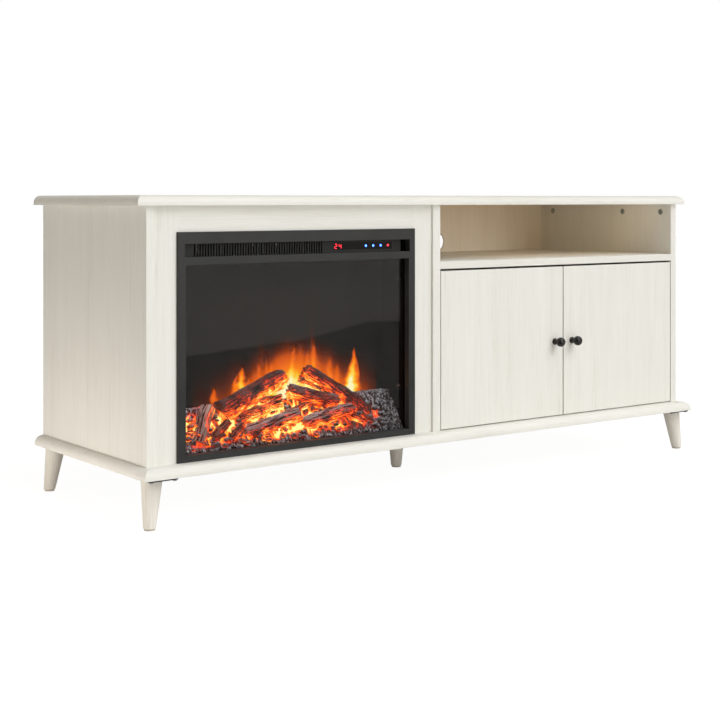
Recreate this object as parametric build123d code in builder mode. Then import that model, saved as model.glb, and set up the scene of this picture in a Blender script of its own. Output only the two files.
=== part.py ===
from build123d import *
import os

os.makedirs("parts", exist_ok=True)

# A low cabinet on splayed legs. An electric fire stands in its left bay, and its right bay has an
# open compartment above a two-door cupboard. Millimetres, +Z up, the front towards -Y, and the
# origin on the floor under the middle of the whole object.

# Driving dimensions -------------------------------------------------------------------------

# Cabinet
body_width = 1480.0  # across the two side panels
body_depth = 466.5  # front edge of the side panels to the back
body_height = 492.0  # base panel to top panel
leg_height = 98.0
base_thickness = 20.0
base_overhang_side = 19.0
base_overhang_front = 32.0
top_thickness = 20.0
top_overhang_side = 22.0
top_overhang_front = 9.0
edge_roundover = 16.0  # upper edge of the base and top panels
side_thickness = 18.0
partition_thickness = 20.0
shelf_thickness = 16.0
back_thickness = 6.0
rail_thickness = 18.0
rear_rail_height = 70.0
frame_setback = 5.5  # stiles and header behind the front edges of the panels
stile_show = 49.5  # width of a stile beside the fire
cupboard_height = 352.0  # base panel to the fixed shelf
loose_shelf_level = 168.0  # base panel to the underside of the loose shelf
loose_shelf_gap = 1.0
loose_shelf_setback = 24.0
shelf_pin_diameter = 5.0
shelf_pin_reach = 8.0
shelf_pin_from_edge = 40.0
cable_hole_diameter = 48.0
cable_hole_above_shelf = 26.0  # centre of the hole over the fixed shelf

# Cam fittings
cam_diameter = 15.0
cam_depth = 13.0
cam_from_edge = 19.0
cam_bolt_diameter = 7.0
cam_bolt_thread = 12.0
cam_depths = (34.0, 162.0, 417.0)  # from the front edge of the panels
cam_slot = 2.0

# Legs
leg_top_diameter = 41.5
leg_foot_diameter = 24.5
leg_edge_left = 16.25  # edge of the base panel to the edge of the leg's top
leg_edge_right = 2.75
leg_edge_front = 23.25
leg_edge_rear = 3.0
leg_splay = 9.7
leg_plate_margin = 18.5  # plate wider than the top of its leg
leg_plate_thickness = 4.0
leg_plate_shift = 7.0  # plate centre inboard of the leg
leg_plate_forward = 6.0  # front plate's centre nearer the front edge than the leg
hanger_bolt_diameter = 8.0
hanger_bolt_in_leg = 32.0
hanger_bolt_in_base = 10.0
glide_height = 4.0
glide_diameter = 21.0
centre_leg_from_left = 770.0
centre_leg_from_front = 225.0

# Doors and knobs
door_thickness = 16.0
door_gap_side = 2.5
door_gap_centre = 3.0
door_gap_bottom = 2.0
door_gap_top = 4.5
knob_diameter = 22.0
knob_flange_diameter = 15.0
knob_length = 29.0
knob_from_gap = 27.5
knob_height = 174.0  # over the base panel
knob_screw_diameter = 4.0
knob_screw_in_knob = 10.0

# Concealed hinges, each about one upright pin inside a round cup let into the door
hinge_from_door_end = 60.0
hinge_pin_inset = 11.5  # pin from the door's hinged edge
hinge_pin_depth = 6.0  # pin behind the door's front face
hinge_pin_diameter = 2.4
hinge_cup_diameter = 35.0
hinge_cup_inset = 22.5  # cup centre from the door's hinged edge
hinge_cup_skin = 3.0  # door left in front of the cup
hinge_cup_wall = 0.6
hinge_flange = 1.2
hinge_flange_height = 56.0
hinge_eye_radius = 2.1
hinge_arm_thickness = 2.5
hinge_arm_height = 12.0
hinge_arm_reach = 16.5  # pin to the neck of the arm, towards the free edge
hinge_arm_clearance = 1.5  # swinging back corner of the door to the cross piece of the arm
hinge_arm_length = 75.0  # pin to the end of the arm
hinge_plate_thickness = 3.0
hinge_plate_height = 40.0

# Screws
screw_diameter = 4.0
screw_length = 14.0
screw_head_diameter = 8.0
screw_head_height = 2.4

# Electric fire
bezel_width = 579.0
bezel_height = 441.5
bezel_lap = 8.0  # bezel flange over the edge of the opening
bezel_collar_gap = 2.0
bezel_depth = 15.0  # front of the bezel to the glass
bezel_border_side = 17.5
bezel_border_bottom = 13.0
bezel_border_top = 23.0
band_border = 15.0
band_height = 25.5  # opening for the grille and the controls
middle_rail = 15.0
front_plate = 4.0  # glass, and the grille strip above it
glass_lap = 7.0
strip_gap = 2.0
slat_start = 42.0  # bezel's left edge to the first slot
slat_pitch = 6.1
slat_count = 50
slot_width = 3.2
window_start = 375.3
window_width = 151.6
window_height = 15.1
window_thickness = 2.0
window_drop = 0.8  # window centre above the middle of the band
strip_end = 550.5
post_diameter = 5.0
post_height = 3.0
board_thickness = 1.6
sheet = 1.2
housing_gap = 2.5  # housing to the sides of the opening
housing_flange = 10.0
insert_depth = 192.0  # cabinet front to the back of the rear cover
louvre_width = 30.0
louvre_height = 4.0
louvre_columns = 9
louvre_pitch = 12.0
louvre_rows = 3
louvre_from_floor = 115.0
louvre_from_top = 23.0
bracket_thickness = 1.5
bracket_leg = 32.0
bracket_height = 24.0
bracket_from_floor = 102.0
bracket_from_top = 109.5  # below the top of the bezel
gland_diameter = 14.0
gland_flange_diameter = 22.0
gland_bore = 7.5
gland_flange = 3.0
gland_inside = 8.0
gland_outside = 10.0
gland_level = 100.0
gland_from_side = 40.0

# Fuel bed and flame machinery, depths from the cabinet's front, heights over the base panel
bed_gap = 1.0  # bed ends to the housing
bed_front = 25.0
bed_lip = 14.0
bed_crest_depth = 78.0
bed_crest = 90.0
bed_back = 101.0
bed_hollow = 47.0
bed_end_wall = 9.0
log_seat_clearance = 0.2
screen_depth = 104.0
screen_thickness = 2.0
screen_gap = 4.0  # flame screen to the heater duct over it
rotor_depth = 145.0
rotor_level = 74.0
shaft_diameter = 4.0
running_clearance = 0.05
flag_count = 16
flag_length = 22.0
flag_span = 24.0
flag_thickness = 0.8
flag_turn = 50.0
motor_diameter = 42.0
motor_length = 16.0
socket_depth = 10.0
bush_diameter = 12.0
bush_length = 8.0

# Heater
duct_overlap = 4.0  # duct wider than the row of slots
duct_wall = 1.0
duct_height = 44.0
duct_length = 105.0
element_depth = 46.0
element_thickness = 15.0
element_bar = 3.0
element_pitch = 14.0
impeller_depth = 95.0
impeller_diameter = 34.0
impeller_blades = 16
impeller_end_gap = 9.0
blade_width = 5.0
blade_thickness = 1.0
disc_thickness = 1.5
blower_motor_diameter = 34.0
blower_motor_length = 36.0
wall_hole_gap = 1.5
cutout_diameter = 16.0
cutout_length = 8.0

fit_clearance = 0.05  # screws, pins and fittings in their holes

# Faces that several pieces share ------------------------------------------------------------
left_face = -body_width / 2
right_face = body_width / 2
front = (base_overhang_front - body_depth) / 2
back = front + body_depth
floor_level = leg_height + base_thickness  # upper face of the base panel
ceiling = floor_level + body_height  # under face of the top panel
bay_left = left_face + side_thickness
bezel_left = bay_left + stile_show
bezel_right = bezel_left + bezel_width
partition_left = bezel_right + stile_show
partition_right = partition_left + partition_thickness
cupboard_right = right_face - side_thickness
shelf_bottom = floor_level + cupboard_height
shelf_top = shelf_bottom + shelf_thickness
opening_left = bezel_left + bezel_lap
opening_right = bezel_right - bezel_lap
bezel_top = floor_level + bezel_height
opening_top = bezel_top - bezel_lap
frame_front = front + frame_setback
frame_back = frame_front + rail_thickness
bracket_levels = (floor_level + bracket_from_floor, bezel_top - bracket_from_top)


# Helpers ------------------------------------------------------------------------------------
def save(piece, label):
    """Label a finished piece and write it to a file of its own."""
    piece.part.label = label
    export_step(piece.part, f"parts/{label}.step")


def block(x, y, z, mode=Mode.ADD):
    """A box that fills the spans x, y and z, each given as (low, high)."""
    with Locations((sum(x) / 2, sum(y) / 2, sum(z) / 2)):
        Box(x[1] - x[0], y[1] - y[0], z[1] - z[0], mode=mode)


def rod(radius, start, end, mode=Mode.ADD, end_radius=None):
    """A round bar from start to end, tapered where end_radius is given."""
    run = Vector(*end) - Vector(*start)
    from_base = (Align.CENTER, Align.CENTER, Align.MIN)
    with Locations(Plane(origin=start, z_dir=run)):
        if end_radius is None:
            Cylinder(radius, run.length, align=from_base, mode=mode)
        else:
            Cone(radius, end_radius, run.length, align=from_base, mode=mode)


def screw(head_seat, direction, length=screw_length):
    """A pan-head screw: its head sits on head_seat and its shank runs along direction."""
    seat = Vector(*head_seat)
    way = Vector(*direction)
    rod(screw_diameter / 2, seat, seat + way * length)
    rod(screw_head_diameter / 2, seat, seat - way * screw_head_height)


def screw_hole(head_seat, direction, length=screw_length):
    """The hole that the shank of a screw on head_seat runs in."""
    seat = Vector(*head_seat)
    way = Vector(*direction)
    rod(screw_diameter / 2 + fit_clearance, seat - way, seat + way * length, mode=Mode.SUBTRACT)


# Cam fittings: one at each end of each upright, at three depths ------------------------------
# Each entry is the face that the cam is let into, and the way from that face into the board.
cam_faces = ((bay_left, -1), (partition_left, 1), (cupboard_right, 1))
cam_levels = ((ceiling, -1), (floor_level, 1))


def cam_places(faces):
    """Every cam fitting of the given faces: face, way in, end of the board, way off it, depth."""
    return [
        (face, inward, end, away, front + depth)
        for face, inward in faces
        for end, away in cam_levels
        for depth in cam_depths
    ]


def cam_bolt_rod(place, radius, mode=Mode.ADD):
    """The run of one cam bolt, from the middle of its cam into the panel beyond the board's end."""
    face, inward, end, away, y = place
    x = face + inward * cam_depth / 2
    rod(radius, (x, y, end + away * cam_from_edge), (x, y, end - away * cam_bolt_thread), mode=mode)


def cut_cam_seats(faces):
    """Pockets and edge holes for the cam fittings of the given faces."""
    for place in cam_places(faces):
        face, inward, end, away, y = place
        z = end + away * cam_from_edge
        rod(cam_diameter / 2, (face, y, z), (face + inward * cam_depth, y, z), mode=Mode.SUBTRACT)
        cam_bolt_rod(place, cam_bolt_diameter / 2 + fit_clearance, mode=Mode.SUBTRACT)


with BuildPart() as cam_locks:
    for place in cam_places(cam_faces):
        face, inward, end, away, y = place
        z = end + away * cam_from_edge
        rod(cam_diameter / 2 - fit_clearance, (face, y, z), (face + inward * cam_depth, y, z))
        for half_height, half_width in ((cam_slot / 2, cam_diameter / 4), (cam_diameter / 4, cam_slot / 2)):
            slot_x = sorted((face, face + inward * cam_slot))
            slot_y = (y - half_width, y + half_width)
            slot_z = (z - half_height, z + half_height)
            block(slot_x, slot_y, slot_z, mode=Mode.SUBTRACT)
        cam_bolt_rod(place, cam_bolt_diameter / 2 + fit_clearance, mode=Mode.SUBTRACT)
save(cam_locks, "cam_locks")

with BuildPart() as cam_bolts:
    for place in cam_places(cam_faces):
        cam_bolt_rod(place, cam_bolt_diameter / 2)
save(cam_bolts, "cam_bolts")

# Legs, their plates and fixings ---------------------------------------------------------------
# Each leg: name, centre of its top, and how far its foot stands out along X and Y.
leg_left_x = left_face - base_overhang_side + leg_edge_left + leg_top_diameter / 2
leg_right_x = right_face + base_overhang_side - leg_edge_right - leg_top_diameter / 2
leg_front_y = front - base_overhang_front + leg_edge_front + leg_top_diameter / 2
leg_rear_y = back - leg_edge_rear - leg_top_diameter / 2
legs = (
    ("leg_front_left", (leg_left_x, leg_front_y), (-leg_splay, -leg_splay)),
    ("leg_front_right", (leg_right_x, leg_front_y), (leg_splay, -leg_splay)),
    ("leg_rear_left", (leg_left_x, leg_rear_y), (-leg_splay, leg_splay)),
    ("leg_rear_right", (leg_right_x, leg_rear_y), (leg_splay, leg_splay)),
    ("leg_centre", (left_face + centre_leg_from_left, front + centre_leg_from_front), (0, 0)),
)
leg_top = leg_height - leg_plate_thickness
leg_plate_size = leg_top_diameter + leg_plate_margin


def leg_axis(top, splay, level):
    """The point of a leg's axis at a level: the axis runs from foot to top."""
    share = (level - glide_height) / (leg_top - glide_height)
    return (top[0] + splay[0] * (1 - share), top[1] + splay[1] * (1 - share), level)


def hanger_bolt(top, splay, radius, mode=Mode.ADD):
    """The run of one hanger bolt, along its leg's axis."""
    start = leg_axis(top, splay, leg_top - hanger_bolt_in_leg)
    end = leg_axis(top, splay, leg_height + hanger_bolt_in_base)
    rod(radius, start, end, mode=mode)


def plate_centre(top, splay):
    """The middle of a leg's plate: inboard of a splayed leg, but nearer the front on a front leg."""
    x_side = (splay[0] > 0) - (splay[0] < 0)
    y_shift = leg_plate_shift if splay[1] > 0 else leg_plate_forward
    return (top[0] - leg_plate_shift * x_side, top[1] - y_shift * (splay[1] != 0))


def leg_screw_seats(top, splay):
    """Where the four screws of a leg's plate sit, under the plate."""
    x, y = plate_centre(top, splay)
    reach = leg_plate_size / 2 - screw_head_diameter * 0.6
    return [(x + i * reach, y + j * reach, leg_top) for i in (-1, 1) for j in (-1, 1)]


for name, top, splay in legs:
    with BuildPart() as leg:
        foot = leg_axis(top, splay, glide_height)
        with BuildSketch(Plane.XY.offset(glide_height)):
            with Locations((foot[0], foot[1])):
                Circle(leg_foot_diameter / 2)
        with BuildSketch(Plane.XY.offset(leg_top)):
            with Locations(top):
                Circle(leg_top_diameter / 2)
        loft()
        hanger_bolt(top, splay, hanger_bolt_diameter / 2 + fit_clearance, mode=Mode.SUBTRACT)
    save(leg, name)

with BuildPart() as hanger_bolts:
    for name, top, splay in legs:
        hanger_bolt(top, splay, hanger_bolt_diameter / 2)
save(hanger_bolts, "hanger_bolts")

with BuildPart() as leg_plates:
    for name, top, splay in legs:
        x, y = plate_centre(top, splay)
        half = leg_plate_size / 2
        block((x - half, x + half), (y - half, y + half), (leg_top, leg_height))
        hanger_bolt(top, splay, hanger_bolt_diameter / 2 + fit_clearance, mode=Mode.SUBTRACT)
        for seat in leg_screw_seats(top, splay):
            screw_hole(seat, (0, 0, 1))
save(leg_plates, "leg_plates")

with BuildPart() as leg_plate_screws:
    for name, top, splay in legs:
        for seat in leg_screw_seats(top, splay):
            screw(seat, (0, 0, 1))
save(leg_plate_screws, "leg_plate_screws")

with BuildPart() as leg_glides:
    for name, top, splay in legs:
        x, y, z = leg_axis(top, splay, glide_height)
        rod(glide_diameter / 2, (x, y, 0), (x, y, glide_height))
save(leg_glides, "leg_glides")

# Base and top panels --------------------------------------------------------------------------
with BuildPart() as base_panel:
    overhang = base_overhang_side
    width = (left_face - overhang, right_face + overhang)
    block(width, (front - base_overhang_front, back), (leg_height, floor_level))
    fillet(base_panel.faces().sort_by(Axis.Z)[-1].edges().sort_by(Axis.Y)[:-1], edge_roundover)
    for name, top, splay in legs:
        hanger_bolt(top, splay, hanger_bolt_diameter / 2 + fit_clearance, mode=Mode.SUBTRACT)
        for seat in leg_screw_seats(top, splay):
            screw_hole(seat, (0, 0, 1))
    for place in cam_places(cam_faces):
        cam_bolt_rod(place, cam_bolt_diameter / 2 + fit_clearance, mode=Mode.SUBTRACT)
save(base_panel, "base_panel")

with BuildPart() as top_panel:
    overhang = top_overhang_side
    block(
        (left_face - overhang, right_face + overhang),
        (front - top_overhang_front, back),
        (ceiling, ceiling + top_thickness),
    )
    fillet(top_panel.faces().sort_by(Axis.Z)[-1].edges().sort_by(Axis.Y)[:-1], edge_roundover)
    for place in cam_places(cam_faces):
        cam_bolt_rod(place, cam_bolt_diameter / 2 + fit_clearance, mode=Mode.SUBTRACT)
save(top_panel, "top_panel")

# Doors ----------------------------------------------------------------------------------------
door_width = (cupboard_right - partition_right - 2 * door_gap_side - door_gap_centre) / 2
door_bottom = floor_level + door_gap_bottom
door_top = shelf_bottom - door_gap_top
door_back = front + door_thickness
hinge_levels = (door_bottom + hinge_from_door_end, door_top - hinge_from_door_end)
pin_y = front + hinge_pin_depth
knob_level = floor_level + knob_height
# Each door: its name, the cabinet face it hangs on, and the way from there to its free edge.
doors = (("left", partition_right, 1), ("right", cupboard_right, -1))
plate_span = (28.0, 66.0)  # mounting plate, behind the pin
plate_screw_depths = (38.0, 56.0)
arm_centre = hinge_arm_thickness / 2
corner_swing = (hinge_pin_inset**2 + (door_thickness - hinge_pin_depth) ** 2) ** 0.5
cross_y = pin_y + corner_swing + hinge_arm_clearance + arm_centre


def hinge_plate_seats():
    """Where the screws of all mounting plates sit, and the way each one runs."""
    return [
        ((face + way * hinge_plate_thickness, pin_y + depth, level + lift), (-way, 0, 0))
        for side, face, way in doors
        for level in hinge_levels
        for depth, lift in ((plate_screw_depths[0], -13.0), (plate_screw_depths[0], 13.0))
    ]


# Upright boards -------------------------------------------------------------------------------
depth_span = (front, back)
upright_span = (floor_level, ceiling)


def bracket_screws():
    """The screws of the fire's four brackets: seat, direction and length of each."""
    found = []
    for housing_side, way in ((opening_left + housing_gap, -1), (opening_right - housing_gap, 1)):
        for z in bracket_levels:
            on_stile = (housing_side + way * bracket_leg * 0.6, frame_back + bracket_thickness, z)
            on_housing = (housing_side + way * bracket_thickness, frame_back + bracket_leg * 0.6, z)
            found.append((on_stile, (0, -1, 0), screw_length))
            found.append((on_housing, (-way, 0, 0), screw_length / 2))
    return found


with BuildPart() as left_side_panel:
    block((left_face, bay_left), depth_span, upright_span)
    cut_cam_seats(cam_faces[:1])
save(left_side_panel, "left_side_panel")

with BuildPart() as centre_partition:
    block((partition_left, partition_right), depth_span, upright_span)
    cut_cam_seats(cam_faces[1:2])
    for seat, way in hinge_plate_seats():
        screw_hole(seat, way)
save(centre_partition, "centre_partition")

with BuildPart() as right_side_panel:
    block((cupboard_right, right_face), depth_span, upright_span)
    cut_cam_seats(cam_faces[2:])
    for seat, way in hinge_plate_seats():
        screw_hole(seat, way)
save(right_side_panel, "right_side_panel")

with BuildPart() as left_stile:
    block((bay_left, opening_left), (frame_front, frame_back), upright_span)
    for seat, way, length in bracket_screws():
        screw_hole(seat, way, length)
save(left_stile, "left_stile")

with BuildPart() as right_stile:
    block((opening_right, partition_left), (frame_front, frame_back), upright_span)
    for seat, way, length in bracket_screws():
        screw_hole(seat, way, length)
save(right_stile, "right_stile")

with BuildPart() as top_rail:
    block((opening_left, opening_right), (frame_front, frame_back), (opening_top, ceiling))
save(top_rail, "top_rail")

with BuildPart() as rear_rails:
    rail_y = (back - rail_thickness, back)
    block((bay_left, partition_left), rail_y, (ceiling - rear_rail_height, ceiling))
    block((bay_left, partition_left), rail_y, (floor_level, floor_level + rear_rail_height))
save(rear_rails, "rear_rails")

# Shelves and back of the right bay ------------------------------------------------------------
back_front = back - back_thickness
with BuildPart() as fixed_shelf:
    block((partition_right, cupboard_right), (front, back_front), (shelf_bottom, shelf_top))
save(fixed_shelf, "fixed_shelf")

with BuildPart() as cupboard_back:
    block((partition_right, cupboard_right), (back_front, back), upright_span)
    hole = ((partition_right + cupboard_right) / 2, shelf_top + cable_hole_above_shelf)
    rod(cable_hole_diameter / 2, (hole[0], back_front, hole[1]), (hole[0], back, hole[1]), mode=Mode.SUBTRACT)
save(cupboard_back, "cupboard_back")

loose_bottom = floor_level + loose_shelf_level
loose_front = front + loose_shelf_setback
with BuildPart() as adjustable_shelf:
    block(
        (partition_right + loose_shelf_gap, cupboard_right - loose_shelf_gap),
        (loose_front, back_front - loose_shelf_gap),
        (loose_bottom, loose_bottom + shelf_thickness),
    )
save(adjustable_shelf, "adjustable_shelf")

with BuildPart() as shelf_pins:
    for face, way in ((partition_right, 1), (cupboard_right, -1)):
        for y in (loose_front + shelf_pin_from_edge, back_front - shelf_pin_from_edge):
            z = loose_bottom - shelf_pin_diameter / 2
            rod(shelf_pin_diameter / 2, (face, y, z), (face + way * shelf_pin_reach, y, z))
save(shelf_pins, "shelf_pins")

# Each door with its cups, knob and screw, and the hinge arms on the cabinet -------------------
cup_radius = hinge_cup_diameter / 2
arm_bodies = []
for side, face, way in doors:
    edge = face + way * door_gap_side
    free_edge = edge + way * door_width
    pin_x = edge + way * hinge_pin_inset
    cup_x = edge + way * hinge_cup_inset
    knob_x = free_edge - way * (knob_from_gap - door_gap_centre / 2)
    cup_bottom = front + hinge_cup_skin

    with BuildPart() as door:
        block(sorted((edge, free_edge)), (front, door_back), (door_bottom, door_top))
        chamfer(door.faces().sort_by(Axis.Y)[0].edges(), 0.6)
        for level in hinge_levels:
            rod(cup_radius, (cup_x, cup_bottom, level), (cup_x, door_back, level), mode=Mode.SUBTRACT)
        shank = knob_screw_diameter / 2 + fit_clearance
        rod(shank, (knob_x, front, knob_level), (knob_x, door_back, knob_level), mode=Mode.SUBTRACT)
    save(door, f"{side}_door")

    # The cup is a thin dish with a flange on the door's back, and carries the pin across it.
    pin_half = (cup_radius**2 - (abs(cup_x - pin_x) + hinge_pin_diameter / 2) ** 2) ** 0.5 - fit_clearance
    with BuildPart() as hinge_cups:
        for level in hinge_levels:
            rod(cup_radius, (cup_x, cup_bottom, level), (cup_x, door_back, level))
            half = cup_radius - hinge_cup_wall + door_gap_side
            block(
                (cup_x - half, cup_x + half),
                (door_back, door_back + hinge_flange),
                (level - hinge_flange_height / 2, level + hinge_flange_height / 2),
            )
            inner = cup_radius - hinge_cup_wall
            inside = (cup_x, cup_bottom + hinge_cup_wall, level)
            rod(inner, inside, (cup_x, door_back + 2 * hinge_flange, level), mode=Mode.SUBTRACT)
            low = (pin_x, pin_y, level - pin_half)
            high = (pin_x, pin_y, level + pin_half)
            rod(hinge_pin_diameter / 2, low, high, mode=Mode.SUBTRACT)
    with BuildPart() as hinge_pins:
        for level in hinge_levels:
            low = (pin_x, pin_y, level - pin_half)
            high = (pin_x, pin_y, level + pin_half)
            rod(hinge_pin_diameter / 2, low, high)
    cups_and_pins = Compound(children=[*hinge_cups.part.solids(), *hinge_pins.part.solids()])
    cups_and_pins.label = f"{side}_hinge_cups"
    export_step(cups_and_pins, f"parts/{side}_hinge_cups.step")

    # A turned knob: a waisted stem that swells to a flat-ended bulb.
    with BuildPart() as knob:
        with BuildSketch(Plane(origin=(knob_x, front, knob_level), x_dir=(1, 0, 0), z_dir=(0, 0, 1))):
            with BuildLine():
                flange = knob_flange_diameter / 2
                bulb = knob_diameter / 2
                Polyline((0, 0), (flange, 0), (flange, -2.5), (flange * 0.8, -4))
                neck = ((flange * 0.8, -4), (bulb * 0.6, -10), (bulb, -knob_length * 0.68))
                Spline(*neck, tangents=((-0.4, -1), (0, -1)))
                Spline((bulb, -knob_length * 0.68), (0, -knob_length), tangents=((0, -1), (-1, 0)))
                Line((0, -knob_length), (0, 0))
            make_face()
        revolve(axis=Axis((knob_x, front, knob_level), (0, 1, 0)))
        end = (knob_x, front - knob_screw_in_knob, knob_level)
        rod(shank, (knob_x, front, knob_level), end, mode=Mode.SUBTRACT)
    save(knob, f"{side}_knob")

    with BuildPart() as knob_screw:
        tip = (knob_x, front - knob_screw_in_knob + 1, knob_level)
        seat = (knob_x, door_back, knob_level)
        rod(knob_screw_diameter / 2, tip, seat)
        rod(screw_head_diameter / 2, seat, (knob_x, door_back + screw_head_height, knob_level))
    save(knob_screw, f"{side}_knob_screw")

with BuildPart() as hinge_arms:
    for side, face, way in doors:
        pin_x = face + way * (door_gap_side + hinge_pin_inset)
        neck_x = pin_x + way * hinge_arm_reach
        strap_x = face + way * (hinge_plate_thickness + arm_centre)
        for level in hinge_levels:
            height = (level - hinge_arm_height / 2, level + hinge_arm_height / 2)
            half = arm_centre
            rod(hinge_eye_radius, (pin_x, pin_y, height[0]), (pin_x, pin_y, height[1]))
            block(sorted((pin_x, neck_x + way * half)), (pin_y - half, pin_y + half), height)
            block((neck_x - half, neck_x + half), (pin_y - half, cross_y + half), height)
            block(sorted((strap_x - way * half, neck_x)), (cross_y - half, cross_y + half), height)
            block((strap_x - half, strap_x + half), (cross_y - half, pin_y + hinge_arm_length), height)
            bore = hinge_pin_diameter / 2 + running_clearance
            rod(bore, (pin_x, pin_y, height[0]), (pin_x, pin_y, height[1]), mode=Mode.SUBTRACT)
save(hinge_arms, "hinge_arms")

with BuildPart() as hinge_mounting_plates:
    for side, face, way in doors:
        for level in hinge_levels:
            block(
                sorted((face, face + way * hinge_plate_thickness)),
                (pin_y + plate_span[0], pin_y + plate_span[1]),
                (level - hinge_plate_height / 2, level + hinge_plate_height / 2),
            )
    for seat, way in hinge_plate_seats():
        screw_hole(seat, way)
save(hinge_mounting_plates, "hinge_mounting_plates")

with BuildPart() as hinge_plate_screws:
    for seat, way in hinge_plate_seats():
        screw(seat, way)
save(hinge_plate_screws, "hinge_plate_screws")

# Front of the electric fire --------------------------------------------------------------------
collar_back = front + bezel_depth
plate_back = collar_back + front_plate
glass_bottom = floor_level + bezel_border_bottom
band_top = bezel_top - bezel_border_top
band_bottom = band_top - band_height
glass_top = band_bottom - middle_rail

with BuildPart() as bezel_frame:
    block((bezel_left, bezel_right), (front, frame_front), (floor_level, bezel_top))
    block(
        (opening_left + bezel_collar_gap, opening_right - bezel_collar_gap),
        (front, collar_back),
        (floor_level, opening_top - bezel_collar_gap),
    )
    outer = bezel_frame.faces().sort_by(Axis.Y)[0].edges()
    chamfer(outer, 1.0)
    side = bezel_border_side
    glass_x = (bezel_left + side, bezel_right - side)
    block(glass_x, (front, collar_back), (glass_bottom, glass_top), mode=Mode.SUBTRACT)
    band_x = (bezel_left + band_border, bezel_right - band_border)
    block(band_x, (front, collar_back), (band_bottom, band_top), mode=Mode.SUBTRACT)
save(bezel_frame, "bezel_frame")

strip_left = opening_left + bezel_collar_gap + strip_gap
strip_bottom = glass_top + glass_lap + strip_gap
strip_top = band_top + 2 * strip_gap + 4.5
with BuildPart() as front_glass:
    block(
        (strip_left, opening_right - bezel_collar_gap - strip_gap),
        (collar_back, plate_back),
        (glass_bottom - glass_lap, glass_top + glass_lap),
    )
save(front_glass, "front_glass")

band_middle = (band_bottom + band_top) / 2
window_x = (bezel_left + window_start, bezel_left + window_start + window_width)
window_z = (band_middle + window_drop - window_height / 2, band_middle + window_drop + window_height / 2)
board_x = (window_x[0] + 4, window_x[1] - 4)
board_z = (window_z[0] - 4, window_z[1] + 8)
with BuildPart() as front_grille:
    block((strip_left, bezel_left + strip_end), (collar_back, plate_back), (strip_bottom, strip_top))
    block(window_x, (collar_back, collar_back + window_thickness), window_z, mode=Mode.SUBTRACT)
    first_slot = bezel_left + slat_start + slat_pitch / 2
    last_slot = first_slot + slat_pitch * (slat_count - 1)
    with Locations(((first_slot + last_slot) / 2, (collar_back + plate_back) / 2, band_middle)):
        with GridLocations(slat_pitch, 1, slat_count, 1):
            Box(slot_width, front_plate, band_height - 1, mode=Mode.SUBTRACT)
    for x in (board_x[0] + post_diameter, board_x[1] - post_diameter):
        for z in (board_z[0] + post_diameter, board_z[1] - post_diameter):
            rod(post_diameter / 2, (x, plate_back, z), (x, plate_back + post_height, z))
save(front_grille, "front_grille")

with BuildPart() as display_window:
    block(window_x, (collar_back, collar_back + window_thickness), window_z)
save(display_window, "display_window")

with BuildPart() as control_board:
    board_y = plate_back + post_height
    block(board_x, (board_y, board_y + board_thickness), board_z)
    with Locations((window_x[0] + 45, board_y + board_thickness + 4, band_middle)):
        Box(18, 8, 14)
save(control_board, "control_board")

# Housing, cover and fixings ---------------------------------------------------------------------
housing_left = opening_left + housing_gap
housing_right = opening_right - housing_gap
housing_top = opening_top - housing_gap
housing_back = front + insert_depth - sheet
inner_left = housing_left + sheet
inner_right = housing_right - sheet
inner_floor = floor_level + sheet
inner_top = housing_top - sheet
gland_x = housing_right - gland_from_side
gland_z = floor_level + gland_level

with BuildPart() as firebox_housing:
    block((housing_left, housing_right), (plate_back, housing_back), (floor_level, housing_top))
    inside = (plate_back + sheet, housing_back)
    block((inner_left, inner_right), inside, (inner_floor, inner_top), mode=Mode.SUBTRACT)
    lip = housing_flange
    block(
        (housing_left + lip, housing_right - lip),
        (plate_back, plate_back + sheet),
        (floor_level + lip, housing_top - lip),
        mode=Mode.SUBTRACT,
    )
    for seat, way, length in bracket_screws():
        screw_hole(seat, way, length)
save(firebox_housing, "firebox_housing")

with BuildPart() as rear_cover:
    block((housing_left, housing_right), (housing_back, housing_back + sheet), (floor_level, housing_top))
    middle = ((housing_left + housing_right) / 2, housing_back + sheet / 2)
    upper_lowest = housing_top - louvre_from_top - louvre_pitch * (louvre_rows - 1)
    for lowest in (floor_level + louvre_from_floor, upper_lowest):
        for row in range(louvre_rows):
            with Locations((*middle, lowest + louvre_pitch * row)):
                with GridLocations(louvre_width * 1.5, 1, louvre_columns, 1):
                    Box(louvre_width, sheet, louvre_height, mode=Mode.SUBTRACT)
    hole = gland_diameter / 2 + fit_clearance
    rod(hole, (gland_x, housing_back, gland_z), (gland_x, housing_back + sheet, gland_z), mode=Mode.SUBTRACT)
save(rear_cover, "rear_cover")

with BuildPart() as inlet_gland:
    cover_face = housing_back + sheet
    inner_end = (gland_x, housing_back - gland_inside, gland_z)
    flange_front = (gland_x, cover_face, gland_z)
    flange_back = (gland_x, cover_face + gland_flange, gland_z)
    outer_end = (gland_x, cover_face + gland_outside, gland_z)
    rod(gland_diameter / 2, inner_end, flange_front)
    rod(gland_flange_diameter / 2, flange_front, flange_back)
    rod(gland_diameter / 2, flange_back, outer_end)
    rod(gland_bore / 2, inner_end, outer_end, mode=Mode.SUBTRACT)
save(inlet_gland, "inlet_gland")

with BuildPart() as insert_brackets:
    for housing_side, way in ((housing_left, -1), (housing_right, 1)):
        for level in bracket_levels:
            z = (level - bracket_height / 2, level + bracket_height / 2)
            leg_x = sorted((housing_side, housing_side + way * bracket_leg))
            block(leg_x, (frame_back, frame_back + bracket_thickness), z)
            upright = sorted((housing_side, housing_side + way * bracket_thickness))
            block(upright, (frame_back, frame_back + bracket_leg), z)
    for seat, way, length in bracket_screws():
        screw_hole(seat, way, length)
save(insert_brackets, "insert_brackets")

with BuildPart() as insert_screws:
    for seat, way, length in bracket_screws():
        screw(seat, way, length)
save(insert_screws, "insert_screws")

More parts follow.
